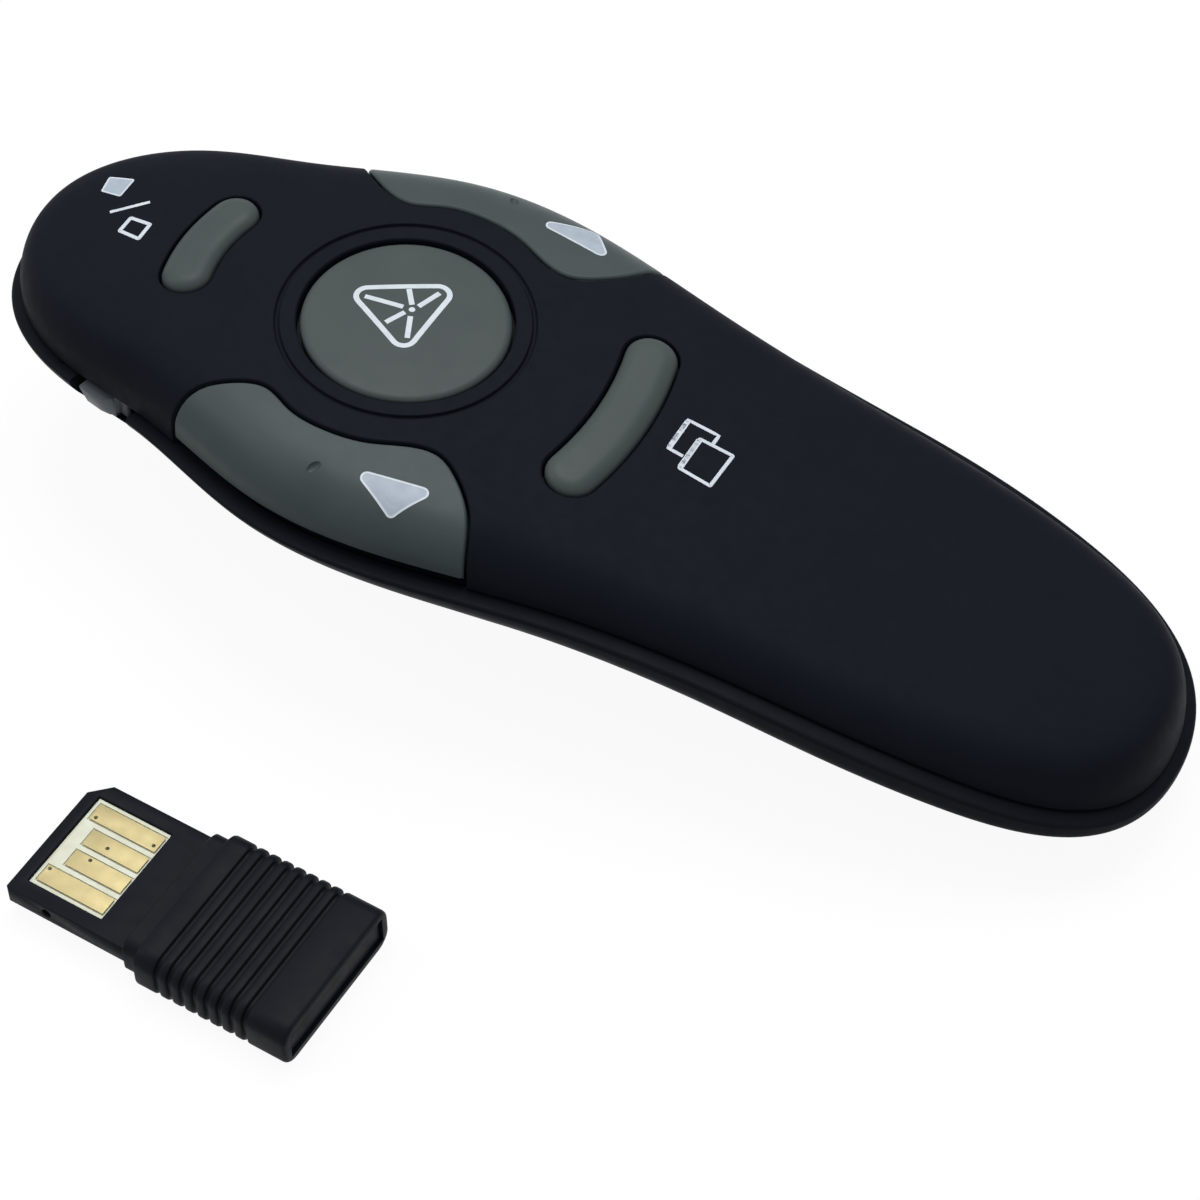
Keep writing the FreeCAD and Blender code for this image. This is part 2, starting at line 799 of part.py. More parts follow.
def make_board_screws():
    """Two small screws that hold the main board on its posts."""
    screws = []
    for side in (-1, 1):
        head = post(post_x, side * post_y, board_top, board_top + board_screw_cap, board_screw_head)
        shank = post(post_x, side * post_y, board_low - board_screw_reach + screw_gap, board_top, board_screw_radius)
        screws.append(head.fuse(shank))
    return Part.makeCompound(screws)


def make_cell(direction, x0):
    """One cell; direction is +1 where its raised end points to the tail."""
    can_length = cell_length - cell_nub_length
    can = Part.makeCylinder(cell_radius, can_length, Vec(0, 0, 0), Vec(1, 0, 0))
    can = can.makeChamfer(cell_round, [edge for edge in can.Edges if edge.BoundBox.XLength < cell_round / 10])
    nub = Part.makeCylinder(cell_nub_radius, cell_nub_length, Vec(can_length, 0, 0), Vec(1, 0, 0))
    cell = can.fuse(nub)
    if direction < 0:
        cell.rotate(Vec(cell_length / 2, 0, 0), Vec(0, 0, 1), 180)
    cell.translate(Vec(x0, direction * cell_side, cell_height))
    return cell


def make_spring(x, y, direction):
    """Bowed leaf that presses on a cell's flat end, drawn from the side and given its width."""
    low = Vec(x, 0, cell_height - spring_reach)
    high = Vec(x, 0, cell_height + spring_reach)
    tip = x + direction * spring_length
    outer = Part.Arc(low, Vec(tip, 0, cell_height), high).toShape()
    step = Vec(0, 0, spring_thick)
    inner = Part.Arc(low + step, Vec(tip - direction * spring_thick, 0, cell_height), high - step).toShape()
    feet = [Part.makeLine(low, low + step), Part.makeLine(high - step, high)]
    leaf = Part.Face(Part.Wire(Part.__sortEdges__([outer, feet[0], inner, feet[1]])))
    leaf = leaf.extrude(Vec(0, spring_width, 0))
    leaf.translate(Vec(0, y - spring_width / 2, 0))
    return leaf


def contact_plate(x0, y0, y1, top):
    """Flat contact strip standing against a bulkhead."""
    return box(x0, x0 + contact_thick, y0, y1, contact_base, top)


def make_door():
    """Battery door: the underside from the bay to the tail, with ribs, a front tab and grip grooves."""
    room = box(bay_head + door_edge, tail_reach + overrun, -door_half, door_half, -overrun, door_level)
    door = lower[0.0].cut(lower[door_thick]).common(room)
    for i in range(door_rib_count):
        x = bay_head + (i + 1) * cell_length / (door_rib_count + 1)
        rib = box(x - door_rib / 2, x + door_rib / 2, -door_rib_half, door_rib_half, 0.0, door_level)
        door = door.fuse(rib.common(lower[bite]))
    half = door_tab_width / 2
    tab_low = lower_wall + door_edge
    tab = box(bay_head - door_tab_reach, bay_head + door_tab_length, -half, half, tab_low, tab_low + door_tab_thick)
    foot = box(bay_head + door_edge, bay_head + door_tab_length, -half, half, door_thick - bite, tab_low + bite)
    door = door.fuse(tab).fuse(foot)
    for i in range(grip_count):
        x = bay_head + grip_start + i * grip_pitch
        door = door.cut(box(x, x + grip_width, -grip_length / 2, grip_length / 2, -overrun, grip_depth))
    return door


def make_laser_barrel(nose):
    """Brass barrel, bored through for lens and diode."""
    barrel = rod(nose, nose + laser_length, 0.0, laser_height, laser_radius)
    barrel = barrel.cut(rod(nose - overrun, nose + laser_length + overrun, 0.0, laser_height, laser_bore))
    lip = rod(nose, nose + lens_setback, 0.0, laser_height, laser_radius)
    lip = lip.cut(rod(nose - overrun, nose + overrun, 0.0, laser_height, laser_mouth_radius))
    return barrel.fuse(lip)


def make_lens(nose):
    """Small lens, bevelled on the side of the diode."""
    start = nose + lens_setback
    lens = rod(start, start + lens_thick, 0.0, laser_height, lens_radius)
    rim = [edge for edge in lens.Edges if edge.BoundBox.XMin > start + lens_thick / 2]
    return lens.makeChamfer(lens_edge, rim)


def make_diode(tail):
    """Round board behind the barrel with the laser diode on it, reaching into the bore."""
    plate = rod(tail, tail + diode_board_thick, 0.0, laser_height, laser_radius)
    return plate.fuse(rod(tail - diode_length, tail + bite, 0.0, laser_height, diode_radius))


def make_leads(tail):
    """Two flat pins from the laser's board up to the main board."""
    half = lead_thick / 2
    leads = []
    for y in (-lead_spacing / 2, lead_spacing / 2):
        run = box(tail, tail + lead_run, y - half, y + half, laser_height - half, laser_height + half)
        rise = box(tail + lead_run - lead_thick, tail + lead_run, y - half, y + half, laser_height - half, board_low)
        leads.append(run.fuse(rise))
    return Part.makeCompound(leads)


def make_power_knob():
    """Slide knob with finger ridges, guard plate behind the wall and lever into the switch."""
    x0 = -power_slot_length / 2 + power_knob_start
    x1 = x0 + power_knob_length
    z0 = power_knob_clear
    z1 = power_slot_height - power_knob_clear
    knob = box(x0, x1, -power_knob_proud, lower_wall + power_knob_gap, z0, z1)
    ridge_step = power_knob_length / (power_ridge_count + 1)
    for i in range(power_ridge_count):
        x = x0 + (i + 1) * ridge_step
        knob = knob.cut(box(x - power_ridge_width / 2, x + power_ridge_width / 2, -power_knob_proud - bite,
                            power_ridge_width - power_knob_proud, z0 - bite, z1 + bite))
    back = lower_wall + power_knob_gap
    guard = box(x0 - power_guard_extra / 2, x1 + power_guard_extra / 2, back, back + power_guard_thick, z0, z1)
    middle = (x0 + x1) / 2
    lever_z = board_top + power_lever_rise - power_frame().Base.z
    lever = box(middle - power_lever_width / 2, middle + power_lever_width / 2, back,
                power_body_inset + power_body_depth / 2, lever_z - power_lever_height / 2,
                lever_z + power_lever_height / 2)
    return on_flank(knob.fuse(guard).fuse(lever))


def make_power_body():
    """Slide switch body on the main board, open on the side where its lever runs."""
    floor = board_top - power_frame().Base.z
    middle = -power_slot_length / 2 + power_knob_start + (power_knob_length + power_travel) / 2
    half = power_body_length / 2
    body = box(middle - half, middle + half, power_body_inset, power_body_inset + power_body_depth,
               floor, floor + power_body_height)
    run = (power_travel + power_lever_width) / 2 + power_knob_clear
    lever_z = floor + power_lever_rise
    rise = power_lever_height / 2 + power_knob_clear
    slot = box(middle - run, middle + run, 0.0, power_body_inset + power_body_depth / 2 + power_knob_clear,
               lever_z - rise, lever_z + rise)
    return on_flank(body.cut(slot))


def make_chip_parts():
    """Two rows of small parts under the main board."""
    parts = []
    for side in (-1, 1):
        for i in range(part_count):
            x = part_x + i * part_pitch
            y = side * part_y
            parts.append(box(x, x + part_length, y - part_width / 2, y + part_width / 2,
                             board_low - part_height, board_low))
    return Part.makeCompound(parts)


# Receiver, drawn along its own axis from the joint of plug and sleeve, then set down beside the clicker


def set_down(shape):
    """Turn a receiver piece and put it in its place."""
    place = FreeCAD.Placement(Vec(receiver_x, receiver_y, 0), FreeCAD.Rotation(Vec(0, 0, 1), receiver_turn))
    shape.Placement = place.multiply(shape.Placement)
    return shape


def make_plug_tray():
    """Flat plug frame with a chamfered corner, a window over the pads and a slot for the board."""
    half = plug_width / 2
    top = plug_base + plug_thick
    tray = box(-plug_length, 0.0, -half, half, plug_base, top)
    ledge = pad_window_width / 2 + plug_ledge
    tray = tray.fuse(box(-bite, plug_tail, -ledge, ledge, plug_base, top))
    corner = Part.makePolygon([Vec(-plug_length, half, 0), Vec(-plug_length + plug_chamfer, half, 0),
                               Vec(-plug_length, half - plug_chamfer, 0), Vec(-plug_length, half, 0)])
    tray = tray.cut(Part.Face(corner).extrude(Vec(0, 0, overrun)))
    slot_half = pad_window_width / 2 + chip_board_gap
    slot_low = plug_base + chip_board_floor
    slot_x = -plug_length + pad_window_edge - chip_board_gap
    tray = tray.cut(box(slot_x, overrun, -slot_half, slot_half, slot_low,
                        slot_low + chip_board_thick + 2 * chip_board_gap))
    tray = tray.cut(box(slot_x, slot_x + pad_window_length, -slot_half, slot_half, slot_low, top + bite))
    dot_x = -plug_length + dot_share * plug_length
    dot = Part.makeCylinder(dot_radius, bite, Vec(dot_x, -half, plug_base + plug_thick / 2), Vec(0, 1, 0))
    return set_down(tray.cut(dot))


def make_receiver_board():
    """Thin board that carries the pads and the radio."""
    low = plug_base + chip_board_floor + chip_board_gap
    half = pad_window_width / 2
    return set_down(box(-plug_length + pad_window_edge, chip_board_tail, -half, half, low, low + chip_board_thick))


def make_pads():
    """Four gilt pads, the outer two longer."""
    low = plug_base + chip_board_floor + chip_board_gap + chip_board_thick
    end = -plug_length + pad_window_edge + pad_window_length - pad_end
    pads = []
    for i in range(pad_count):
        y = (i - (pad_count - 1) / 2) * pad_pitch
        length = pad_long if i in (0, pad_count - 1) else pad_short
        pads.append(box(end - length, end, y - pad_width / 2, y + pad_width / 2, low, low + pad_thick))
    return set_down(Part.makeCompound(pads))


def soft_block(x0, x1, half, z0, z1):
    """Block along X with broken long edges."""
    block = box(x0, x1, -half, half, z0, z1)
    long_edges = [edge for edge in block.Edges if edge.BoundBox.XLength > (x1 - x0) / 2]
    return block.makeChamfer(sleeve_edge, long_edges)


def make_sleeve():
    """Ribbed sleeve, hollow for the board, with a narrower collar at the plug and a rim at the end."""
    half = sleeve_width / 2
    collar = box(0.0, sleeve_collar + bite, sleeve_collar_in - half, half - sleeve_collar_in,
                 sleeve_collar_in / 2, sleeve_thick - sleeve_collar_in / 2)
    sleeve = soft_block(sleeve_collar, sleeve_length, half, 0.0, sleeve_thick).fuse(collar)
    for i in range(rib_count):
        x = rib_start + i * rib_pitch
        band = box(x, x + rib_groove, -half - bite, half + bite, rib_depth, sleeve_thick + bite)
        core = soft_block(x - bite, x + rib_groove + bite, half - rib_depth, -bite, sleeve_thick - rib_depth)
        sleeve = sleeve.cut(band.cut(core))
    room_half = pad_window_width / 2 + plug_ledge + chip_board_gap
    room = box(-bite, plug_tail + chip_board_gap, -room_half, room_half,
               plug_base - chip_board_gap, plug_base + plug_thick + chip_board_gap)
    room = room.fuse(box(plug_tail, sleeve_length - cap_recess, -room_half, room_half,
                         sleeve_wall, sleeve_thick - sleeve_wall))
    mouth = box(sleeve_length - cap_recess - cap_thick, sleeve_length + bite, sleeve_wall - half,
                half - sleeve_wall, sleeve_wall, sleeve_thick - sleeve_wall)
    return set_down(sleeve.cut(room).cut(mouth))


def make_end_cap():
    """Plate that closes the sleeve, set back inside its rim."""
    half = sleeve_width / 2 - sleeve_wall - cap_gap
    x1 = sleeve_length - cap_recess
    return set_down(box(x1 - cap_thick + cap_gap, x1, -half, half, sleeve_wall + cap_gap,
                        sleeve_thick - sleeve_wall - cap_gap))


def on_receiver_board(x, length, width, height):
    """Block standing on the receiver's board."""
    low = plug_base + chip_board_floor + chip_board_gap + chip_board_thick
    return set_down(box(x, x + length, -width / 2, width / 2, low, low + height))


def main():
    os.makedirs("parts", exist_ok=True)
    laser_nose = laser_window_x() + window_thick + laser_nose_gap
    laser_tail = laser_nose + laser_length
    save("top_cover", make_top_cover())
    save("bottom_cover", make_bottom_cover(laser_nose))
    save("battery_door", make_door())
    save("laser_key", make_top_key("laser", laser_key_radius, laser_key_recess, laser_key_edge))
    save("blank_key", make_top_key("blank", blank_key_width, -slot_key_proud, slot_key_edge))
    save("window_key", make_top_key("window", window_key_width, -slot_key_proud, slot_key_edge))
    page_key = make_page_key()
    save("page_right_key", page_key)
    save("page_left_key", mirrored(page_key))
    for name, (x, y) in switch_places.items():
        save(name + "_switch", make_switch(x, y))
        save(name + "_plunger", make_plunger(x, y))
    save("main_board", make_board())
    chip = box(chip_x, chip_x + chip_width, chip_y, chip_y + chip_width, board_low - chip_height, board_low)
    save("radio_chip", chip)
    save("crystal", box(chip_x, chip_x + crystal_length, crystal_y, crystal_y + crystal_width,
                        board_low - crystal_height, board_low))
    save("chip_parts", make_chip_parts())
    save("case_screws", make_case_screws())
    save("board_screws", make_board_screws())
    save("left_cell", make_cell(-1, bay_head + contact_thick))
    save("right_cell", make_cell(1, bay_tail - contact_thick - cell_length))
    inner_half = contact_width / 2
    head_plate = contact_plate(bay_head, -cell_side - inner_half, -cell_side + inner_half, contact_top)
    save("plus_contact", head_plate)
    spring_plate = contact_plate(bay_head, cell_side - inner_half, cell_side + inner_half, contact_top)
    save("minus_contact", spring_plate)
    save("minus_spring", make_spring(bay_head + contact_thick, cell_side, 1))
    tail_x = bay_tail - contact_thick
    save("bridge_contact", contact_plate(tail_x, -cell_side - inner_half, cell_side + inner_half, contact_top))
    save("bridge_spring", make_spring(tail_x, -cell_side, -1))
    save("laser_barrel", make_laser_barrel(laser_nose))
    save("laser_lens", make_lens(laser_nose))
    window_x = laser_window_x()
    save("laser_window", rod(window_x, window_x + window_thick, 0.0, laser_height, window_radius - screw_gap / 2))
    save("laser_diode", make_diode(laser_tail))
    save("laser_leads", make_leads(laser_tail + diode_board_thick))
    save("power_knob", make_power_knob())
    save("power_switch", make_power_body())
    save("receiver_tray", make_plug_tray())
    save("receiver_board", make_receiver_board())
    save("receiver_pads", make_pads())
    save("receiver_sleeve", make_sleeve())
    save("receiver_end_cap", make_end_cap())
    save("receiver_chip", on_receiver_board(receiver_chip_x, receiver_chip_width, receiver_chip_width,
                                            receiver_chip_height))
    save("receiver_crystal", on_receiver_board(receiver_crystal_x, receiver_crystal_length,
                                               receiver_crystal_width, receiver_crystal_height))


main()
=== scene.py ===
# %% [markdown]
# # A presentation remote and its radio receiver
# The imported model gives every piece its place. This lesson dresses it: smooth moulded shells,
# soft-edged keys, printed legends, a ribbed receiver and procedural plastics.
# Blender counts in metres. Lengths of shapes are written in millimetres, and the helpers that make or
# place something multiply them by mm.

# %% Load the frame
import json
import math

import bmesh
import bpy
import numpy as np
from mathutils import Matrix, Vector
from mathutils.bvhtree import BVHTree
from mathutils.interpolate import poly_3d_calc


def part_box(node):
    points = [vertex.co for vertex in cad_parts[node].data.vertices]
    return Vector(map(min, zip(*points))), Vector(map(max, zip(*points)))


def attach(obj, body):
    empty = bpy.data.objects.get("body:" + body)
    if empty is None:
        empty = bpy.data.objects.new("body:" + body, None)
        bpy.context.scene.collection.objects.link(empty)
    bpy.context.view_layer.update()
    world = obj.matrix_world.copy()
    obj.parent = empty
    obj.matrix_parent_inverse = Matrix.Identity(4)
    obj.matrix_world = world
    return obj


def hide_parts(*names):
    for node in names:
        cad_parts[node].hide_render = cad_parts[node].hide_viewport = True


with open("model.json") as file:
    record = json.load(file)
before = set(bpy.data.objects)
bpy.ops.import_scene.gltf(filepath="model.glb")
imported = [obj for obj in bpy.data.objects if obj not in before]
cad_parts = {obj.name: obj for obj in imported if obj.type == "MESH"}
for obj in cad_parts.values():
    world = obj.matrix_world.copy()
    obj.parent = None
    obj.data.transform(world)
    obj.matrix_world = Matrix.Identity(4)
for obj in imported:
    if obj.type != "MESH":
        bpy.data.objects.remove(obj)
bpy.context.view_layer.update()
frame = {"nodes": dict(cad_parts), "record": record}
mm = 0.001

# %% [markdown]
# ## Camera
# The remote was photographed from above and from its left, with the nose pointing away to the left.
# A long lens at a distance keeps the sides nearly parallel, as in a catalogue picture.

# %% Camera
camera_turn = math.radians(27.298)
camera_height = math.radians(50.6505)
camera_distance = 281.84 * mm
camera_aim = Vector((23.281, -11.235, 12.2)) * mm
lens_length = 107.525


def towards(turn, height):
    """Unit vector from the object to a camera or a lamp."""
    return Vector((math.sin(turn) * math.cos(height), -math.cos(turn) * math.cos(height), math.sin(height)))


camera_data = bpy.data.cameras.new("camera")
camera_data.sensor_width = 36.0
camera_data.lens = lens_length
camera_data.clip_start = 0.01
camera_data.clip_end = 10.0
camera = bpy.data.objects.new("camera", camera_data)
bpy.context.collection.objects.link(camera)
back = towards(camera_turn, camera_height)
camera.location = camera_aim + back * camera_distance
camera.rotation_mode = "QUATERNION"
camera.rotation_quaternion = (-back).to_track_quat("-Z", "Y")
bpy.context.scene.camera = camera
bpy.context.scene.view_settings.view_transform = "Standard"
print("camera at", [round(v, 4) for v in camera.location])

# %% [markdown]
# ## Materials as small node graphs
# Every finish is one principled shader with a little variation in tint, roughness and height. These
# helpers add its nodes, so that a finish further down is only a few numbers.

# %% A helper for shader nodes


def add(tree, kind, **values):
    """Add one node and set its plain properties."""
    node = tree.nodes.new(kind)
    for name, value in values.items():
        setattr(node, name, value)
    return node


def start_material(name):
    """Empty material with an output and a principled shader."""
    material = bpy.data.materials.new(name)
    material.use_nodes = True
    tree = material.node_tree
    tree.nodes.clear()
    output = add(tree, "ShaderNodeOutputMaterial")
    shader = add(tree, "ShaderNodeBsdfPrincipled")
    tree.links.new(shader.outputs["BSDF"], output.inputs["Surface"])
    return material, tree, shader


def noise(tree, scale, detail=2.0, rough=0.5, stretch=(1, 1, 1)):
    """Noise in the object's own space; scale is lumps per metre."""
    place = add(tree, "ShaderNodeTexCoord")
    mapping = add(tree, "ShaderNodeMapping")
    mapping.inputs["Scale"].default_value = stretch
    texture = add(tree, "ShaderNodeTexNoise")
    texture.inputs["Scale"].default_value = scale
    texture.inputs["Detail"].default_value = detail
    texture.inputs["Roughness"].default_value = rough
    tree.links.new(place.outputs["Object"], mapping.inputs["Vector"])
    tree.links.new(mapping.outputs["Vector"], texture.inputs["Vector"])
    return texture.outputs["Fac"]


def ramp(tree, value, stops):
    """Colour ramp from (position, colour) pairs."""
    node = add(tree, "ShaderNodeValToRGB")
    band = node.color_ramp
    while len(band.elements) < len(stops):
        band.elements.new(0.5)
    for element, (position, colour) in zip(band.elements, stops):
        element.position = position
        element.color = (*colour, 1.0)
    tree.links.new(value, node.inputs["Fac"])
    return node.outputs["Color"]


def spread(tree, value, low, high):
    """Map a 0 to 1 value between two numbers."""
    node = add(tree, "ShaderNodeMapRange")
    node.inputs["From Min"].default_value = 0.3
    node.inputs["From Max"].default_value = 0.7
    node.inputs["To Min"].default_value = low
    node.inputs["To Max"].default_value = high
    tree.links.new(value, node.inputs["Value"])
    return node.outputs["Result"]


def bump(tree, shader, value, height):
    """Drive the shader's normal from a height in metres."""
    node = add(tree, "ShaderNodeBump")
    node.inputs["Strength"].default_value = 1.0
    node.inputs["Distance"].default_value = height
    tree.links.new(value, node.inputs["Height"])
    tree.links.new(node.outputs["Normal"], shader.inputs["Normal"])
    return node


print("node helpers ready")

# %% [markdown]
# No moulded or painted surface has just one tint. Broad patches shift its colour a little, a coarse
# noise changes how dull it is, and a fine grain breaks up the highlights through a bump.

# %% One shader for moulded and painted surfaces


def moulded(name, dark, light, rough_low, rough_high, grain=9000, grain_height=0.006 * mm, mottle=180,
            coat=0.0, sheen=0.0, metal=0.0, specular=0.5):
    """Moulded or painted surface: two close tints, uneven roughness and a fine grain."""
    material, tree, shader = start_material(name)
    patches = noise(tree, mottle, 3.0)
    tree.links.new(ramp(tree, patches, [(0.3, dark), (0.7, light)]), shader.inputs["Base Color"])
    fine = noise(tree, grain, 3.0, 0.6)
    dull = spread(tree, noise(tree, grain / 12, 4.0), rough_low, rough_high)
    tree.links.new(dull, shader.inputs["Roughness"])
    bump(tree, shader, fine, grain_height)
    shader.inputs["Metallic"].default_value = metal
    shader.inputs["Specular IOR Level"].default_value = specular
    shader.inputs["Coat Weight"].default_value = coat
    shader.inputs["Coat Roughness"].default_value = 0.25
    shader.inputs["Sheen Weight"].default_value = sheen
    return material


print("shader for moulded surfaces ready")

# %% [markdown]
# ## The plastics of the remote
# The case has a rubber-like coating: nearly black with a breath of navy, wide dull highlights and a
# grain finer than a hair. The keys are a dark grey-green plastic, a little smoother and much lighter.

# %% Case, key and receiver plastics
case_black = moulded("case_black", (0.0065, 0.0083, 0.0126), (0.0073, 0.0092, 0.0139), 0.52, 0.62,
                     grain=11000, grain_height=0.004 * mm, specular=0.03)
underside_black = moulded("underside_black", (0.0060, 0.0066, 0.0105), (0.0072, 0.0079, 0.0122), 0.46, 0.56,
                          grain=8000, grain_height=0.005 * mm, specular=0.04)
key_grey = moulded("key_grey", (0.051, 0.063, 0.063), (0.058, 0.071, 0.070), 0.40, 0.48,
                   grain=10000, grain_height=0.003 * mm, specular=0.14)
page_grey = moulded("page_grey", (0.047, 0.062, 0.064), (0.055, 0.071, 0.073), 0.38, 0.46,
                    grain=10000, grain_height=0.003 * mm, specular=0.14)
knob_grey = moulded("knob_grey", (0.090, 0.105, 0.120), (0.105, 0.122, 0.138), 0.38, 0.48, specular=0.2)
receiver_black = moulded("receiver_black", (0.0062, 0.0068, 0.0105), (0.0080, 0.0086, 0.0128), 0.42, 0.54,
                         grain=7000, grain_height=0.006 * mm, specular=0.06)
print("plastics:", case_black.name, key_grey.name, receiver_black.name)

# %% [markdown]
# ## Paint, boards and metal
# The legends are pad-printed in a pale lavender grey. Inside, the boards wear green lacquer and the
# contacts are nickel. The receiver's board is pale, and its pads are gilt.

# %% Smaller finishes
legend_paint = moulded("legend_paint", (0.56, 0.61, 0.66), (0.64, 0.69, 0.74), 0.50, 0.62, grain=14000,
                       grain_height=0.003 * mm, mottle=900)
fill_paint = moulded("fill_paint", (0.34, 0.39, 0.46), (0.39, 0.45, 0.52), 0.48, 0.60, grain=14000,
                     grain_height=0.003 * mm, mottle=900)
board_green = moulded("board_green", (0.006, 0.050, 0.022), (0.009, 0.070, 0.030), 0.25, 0.35,
                      mottle=400, coat=0.3)
board_pale = moulded("board_pale", (0.66, 0.67, 0.53), (0.75, 0.76, 0.63), 0.35, 0.45,
                     mottle=900, specular=0.2)
switch_black = moulded("switch_black", (0.012, 0.012, 0.012), (0.018, 0.018, 0.018), 0.35, 0.50)
plunger_ivory = moulded("plunger_ivory", (0.52, 0.49, 0.42), (0.60, 0.57, 0.50), 0.35, 0.45)
chip_black = moulded("chip_black", (0.010, 0.010, 0.011), (0.016, 0.016, 0.017), 0.50, 0.65, grain=16000)
part_tan = moulded("part_tan", (0.30, 0.21, 0.12), (0.40, 0.29, 0.18), 0.35, 0.50, mottle=1500)
jacket_blue = moulded("jacket_blue", (0.020, 0.055, 0.140), (0.028, 0.070, 0.170), 0.20, 0.30, coat=0.4)
black_steel = moulded("black_steel", (0.045, 0.045, 0.050), (0.065, 0.065, 0.070), 0.30, 0.45,
                      metal=1.0, grain=12000)
nickel = moulded("nickel", (0.60, 0.58, 0.54), (0.70, 0.68, 0.64), 0.22, 0.34, metal=1.0, grain=12000)
gilt = moulded("gilt", (0.42, 0.355, 0.18), (0.47, 0.400, 0.21), 0.45, 0.55,
               metal=0.5, mottle=700, grain=9000, specular=0.1)


print("paints, boards and metals:", len(bpy.data.materials))

# %% [markdown]
# Two finishes need a graph of their own. The laser's barrel was turned on a lathe, so its noise is drawn
# into fine rings round the beam. Lens and window are dark red glass, as on many laser pointers.

# %% Turned brass and red glass


def turned_brass():
    """Brass with fine rings round the X axis, as a lathe tool leaves."""
    material, tree, shader = start_material("turned_brass")
    rings = noise(tree, 2500, 2.0, 0.5, (1.0, 0.02, 0.02))
    tree.links.new(ramp(tree, rings, [(0.3, (0.50, 0.34, 0.12)), (0.7, (0.66, 0.47, 0.19))]),
                   shader.inputs["Base Color"])
    tree.links.new(spread(tree, rings, 0.22, 0.38), shader.inputs["Roughness"])
    bump(tree, shader, rings, 0.01 * mm)
    shader.inputs["Metallic"].default_value = 1.0
    return material


def clear_glass():
    """Dark red glass of slightly uneven tint and polish."""
    material, tree, shader = start_material("clear_glass")
    cloud = noise(tree, 300, 2.0)
    tree.links.new(ramp(tree, cloud, [(0.3, (0.16, 0.03, 0.04)), (0.7, (0.22, 0.05, 0.06))]),
                   shader.inputs["Base Color"])
    tree.links.new(spread(tree, cloud, 0.03, 0.07), shader.inputs["Roughness"])
    shader.inputs["IOR"].default_value = 1.50
    shader.inputs["Transmission Weight"].default_value = 0.6
    return material


brass = turned_brass()
glass = clear_glass()
print("finishes:", len(bpy.data.materials))

# %% [markdown]
# ## One finish for every piece of the frame
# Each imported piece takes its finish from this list. Pieces that stay hidden inside are dressed too,
# because the battery door slides open and shows some of them.

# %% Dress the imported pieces
pressed = ("laser", "blank", "window", "page_left", "page_right")
finish_groups = (
    (case_black, ("top_cover",)),
    (underside_black, ("bottom_cover", "battery_door")),
    (key_grey, ("laser_key", "blank_key", "window_key")),
    (page_grey, ("page_left_key", "page_right_key")),
    (knob_grey, ("power_knob",)),
    (switch_black, ("power_switch", *(key + "_switch" for key in pressed))),
    (plunger_ivory, tuple(key + "_plunger" for key in pressed)),
    (board_green, ("main_board", "laser_diode")),
    (chip_black, ("radio_chip", "receiver_chip")),
    (part_tan, ("chip_parts",)),
    (black_steel, ("case_screws", "board_screws")),
    (jacket_blue, ("left_cell", "right_cell")),
    (nickel, ("crystal", "receiver_crystal", "laser_leads")),
    (nickel, ("plus_contact", "minus_contact", "bridge_contact", "minus_spring", "bridge_spring")),
    (brass, ("laser_barrel",)),
    (glass, ("laser_lens", "laser_window")),
    (receiver_black, ("receiver_tray", "receiver_sleeve", "receiver_end_cap")),
    (board_pale, ("receiver_board",)),
    (gilt, ("receiver_pads",)),
)
finish_of = {name: finish for finish, names in finish_groups for name in names}
for node_name, node in frame["nodes"].items():
    node.data.materials.clear()
    node.data.materials.append(finish_of[node_name])
print("dressed:", len(finish_of))

# %% [markdown]
# ## Floor, backdrop and lamps
# The remote lies on white. The floor and the world look white to the camera and in reflections, while
# the light that falls on the remote stays at a plain level and the floor keeps a faint shadow.

# %% Floor
floor_reach = 3.0
floor_drop = 0.02 * mm
floor_white = 0.93
floor_bounce = 0.45


def sees_white(tree):
    """1 for camera, glossy and transmission rays."""
    path = add(tree, "ShaderNodeLightPath")
    first = add(tree, "ShaderNodeMath", operation="MAXIMUM")
    second = add(tree, "ShaderNodeMath", operation="MAXIMUM")
    tree.links.new(path.outputs["Is Camera Ray"], first.inputs[0])
    tree.links.new(path.outputs["Is Glossy Ray"], first.inputs[1])
    tree.links.new(first.outputs[0], second.inputs[0])
    tree.links.new(path.outputs["Is Transmission Ray"], second.inputs[1])
    return second.outputs[0]


floor_mesh = bpy.data.meshes.new("floor")
corners = [(-floor_reach, -floor_reach), (floor_reach, -floor_reach),
           (floor_reach, floor_reach), (-floor_reach, floor_reach)]
floor_mesh.from_pydata([Vector((x, y, -floor_drop)) for x, y in corners], [], [(0, 1, 2, 3)])
floor = bpy.data.objects.new("floor", floor_mesh)
bpy.context.collection.objects.link(floor)
floor_paint, floor_tree, floor_shader = start_material("floor_paint")
floor_shader.inputs["Roughness"].default_value = 0.9
floor_shader.inputs["Specular IOR Level"].default_value = 0.0
floor_tint = ramp(floor_tree, sees_white(floor_tree), [(0.0, (floor_bounce,) * 3), (1.0, (1.0, 1.0, 1.0))])
floor_tree.links.new(floor_tint, floor_shader.inputs["Base Color"])
glow = add(floor_tree, "ShaderNodeEmission")
blend = add(floor_tree, "ShaderNodeMixShader")
share = add(floor_tree, "ShaderNodeMath", operation="MULTIPLY")
share.inputs[1].default_value = floor_white
floor_tree.links.new(sees_white(floor_tree), share.inputs[0])
floor_tree.links.new(share.outputs[0], blend.inputs["Fac"])
floor_tree.links.new(floor_shader.outputs["BSDF"], blend.inputs[1])
floor_tree.links.new(glow.outputs["Emission"], blend.inputs[2])
floor_output = [n for n in floor_tree.nodes if n.type == "OUTPUT_MATERIAL"][0]
floor_tree.links.new(blend.outputs["Shader"], floor_output.inputs["Surface"])
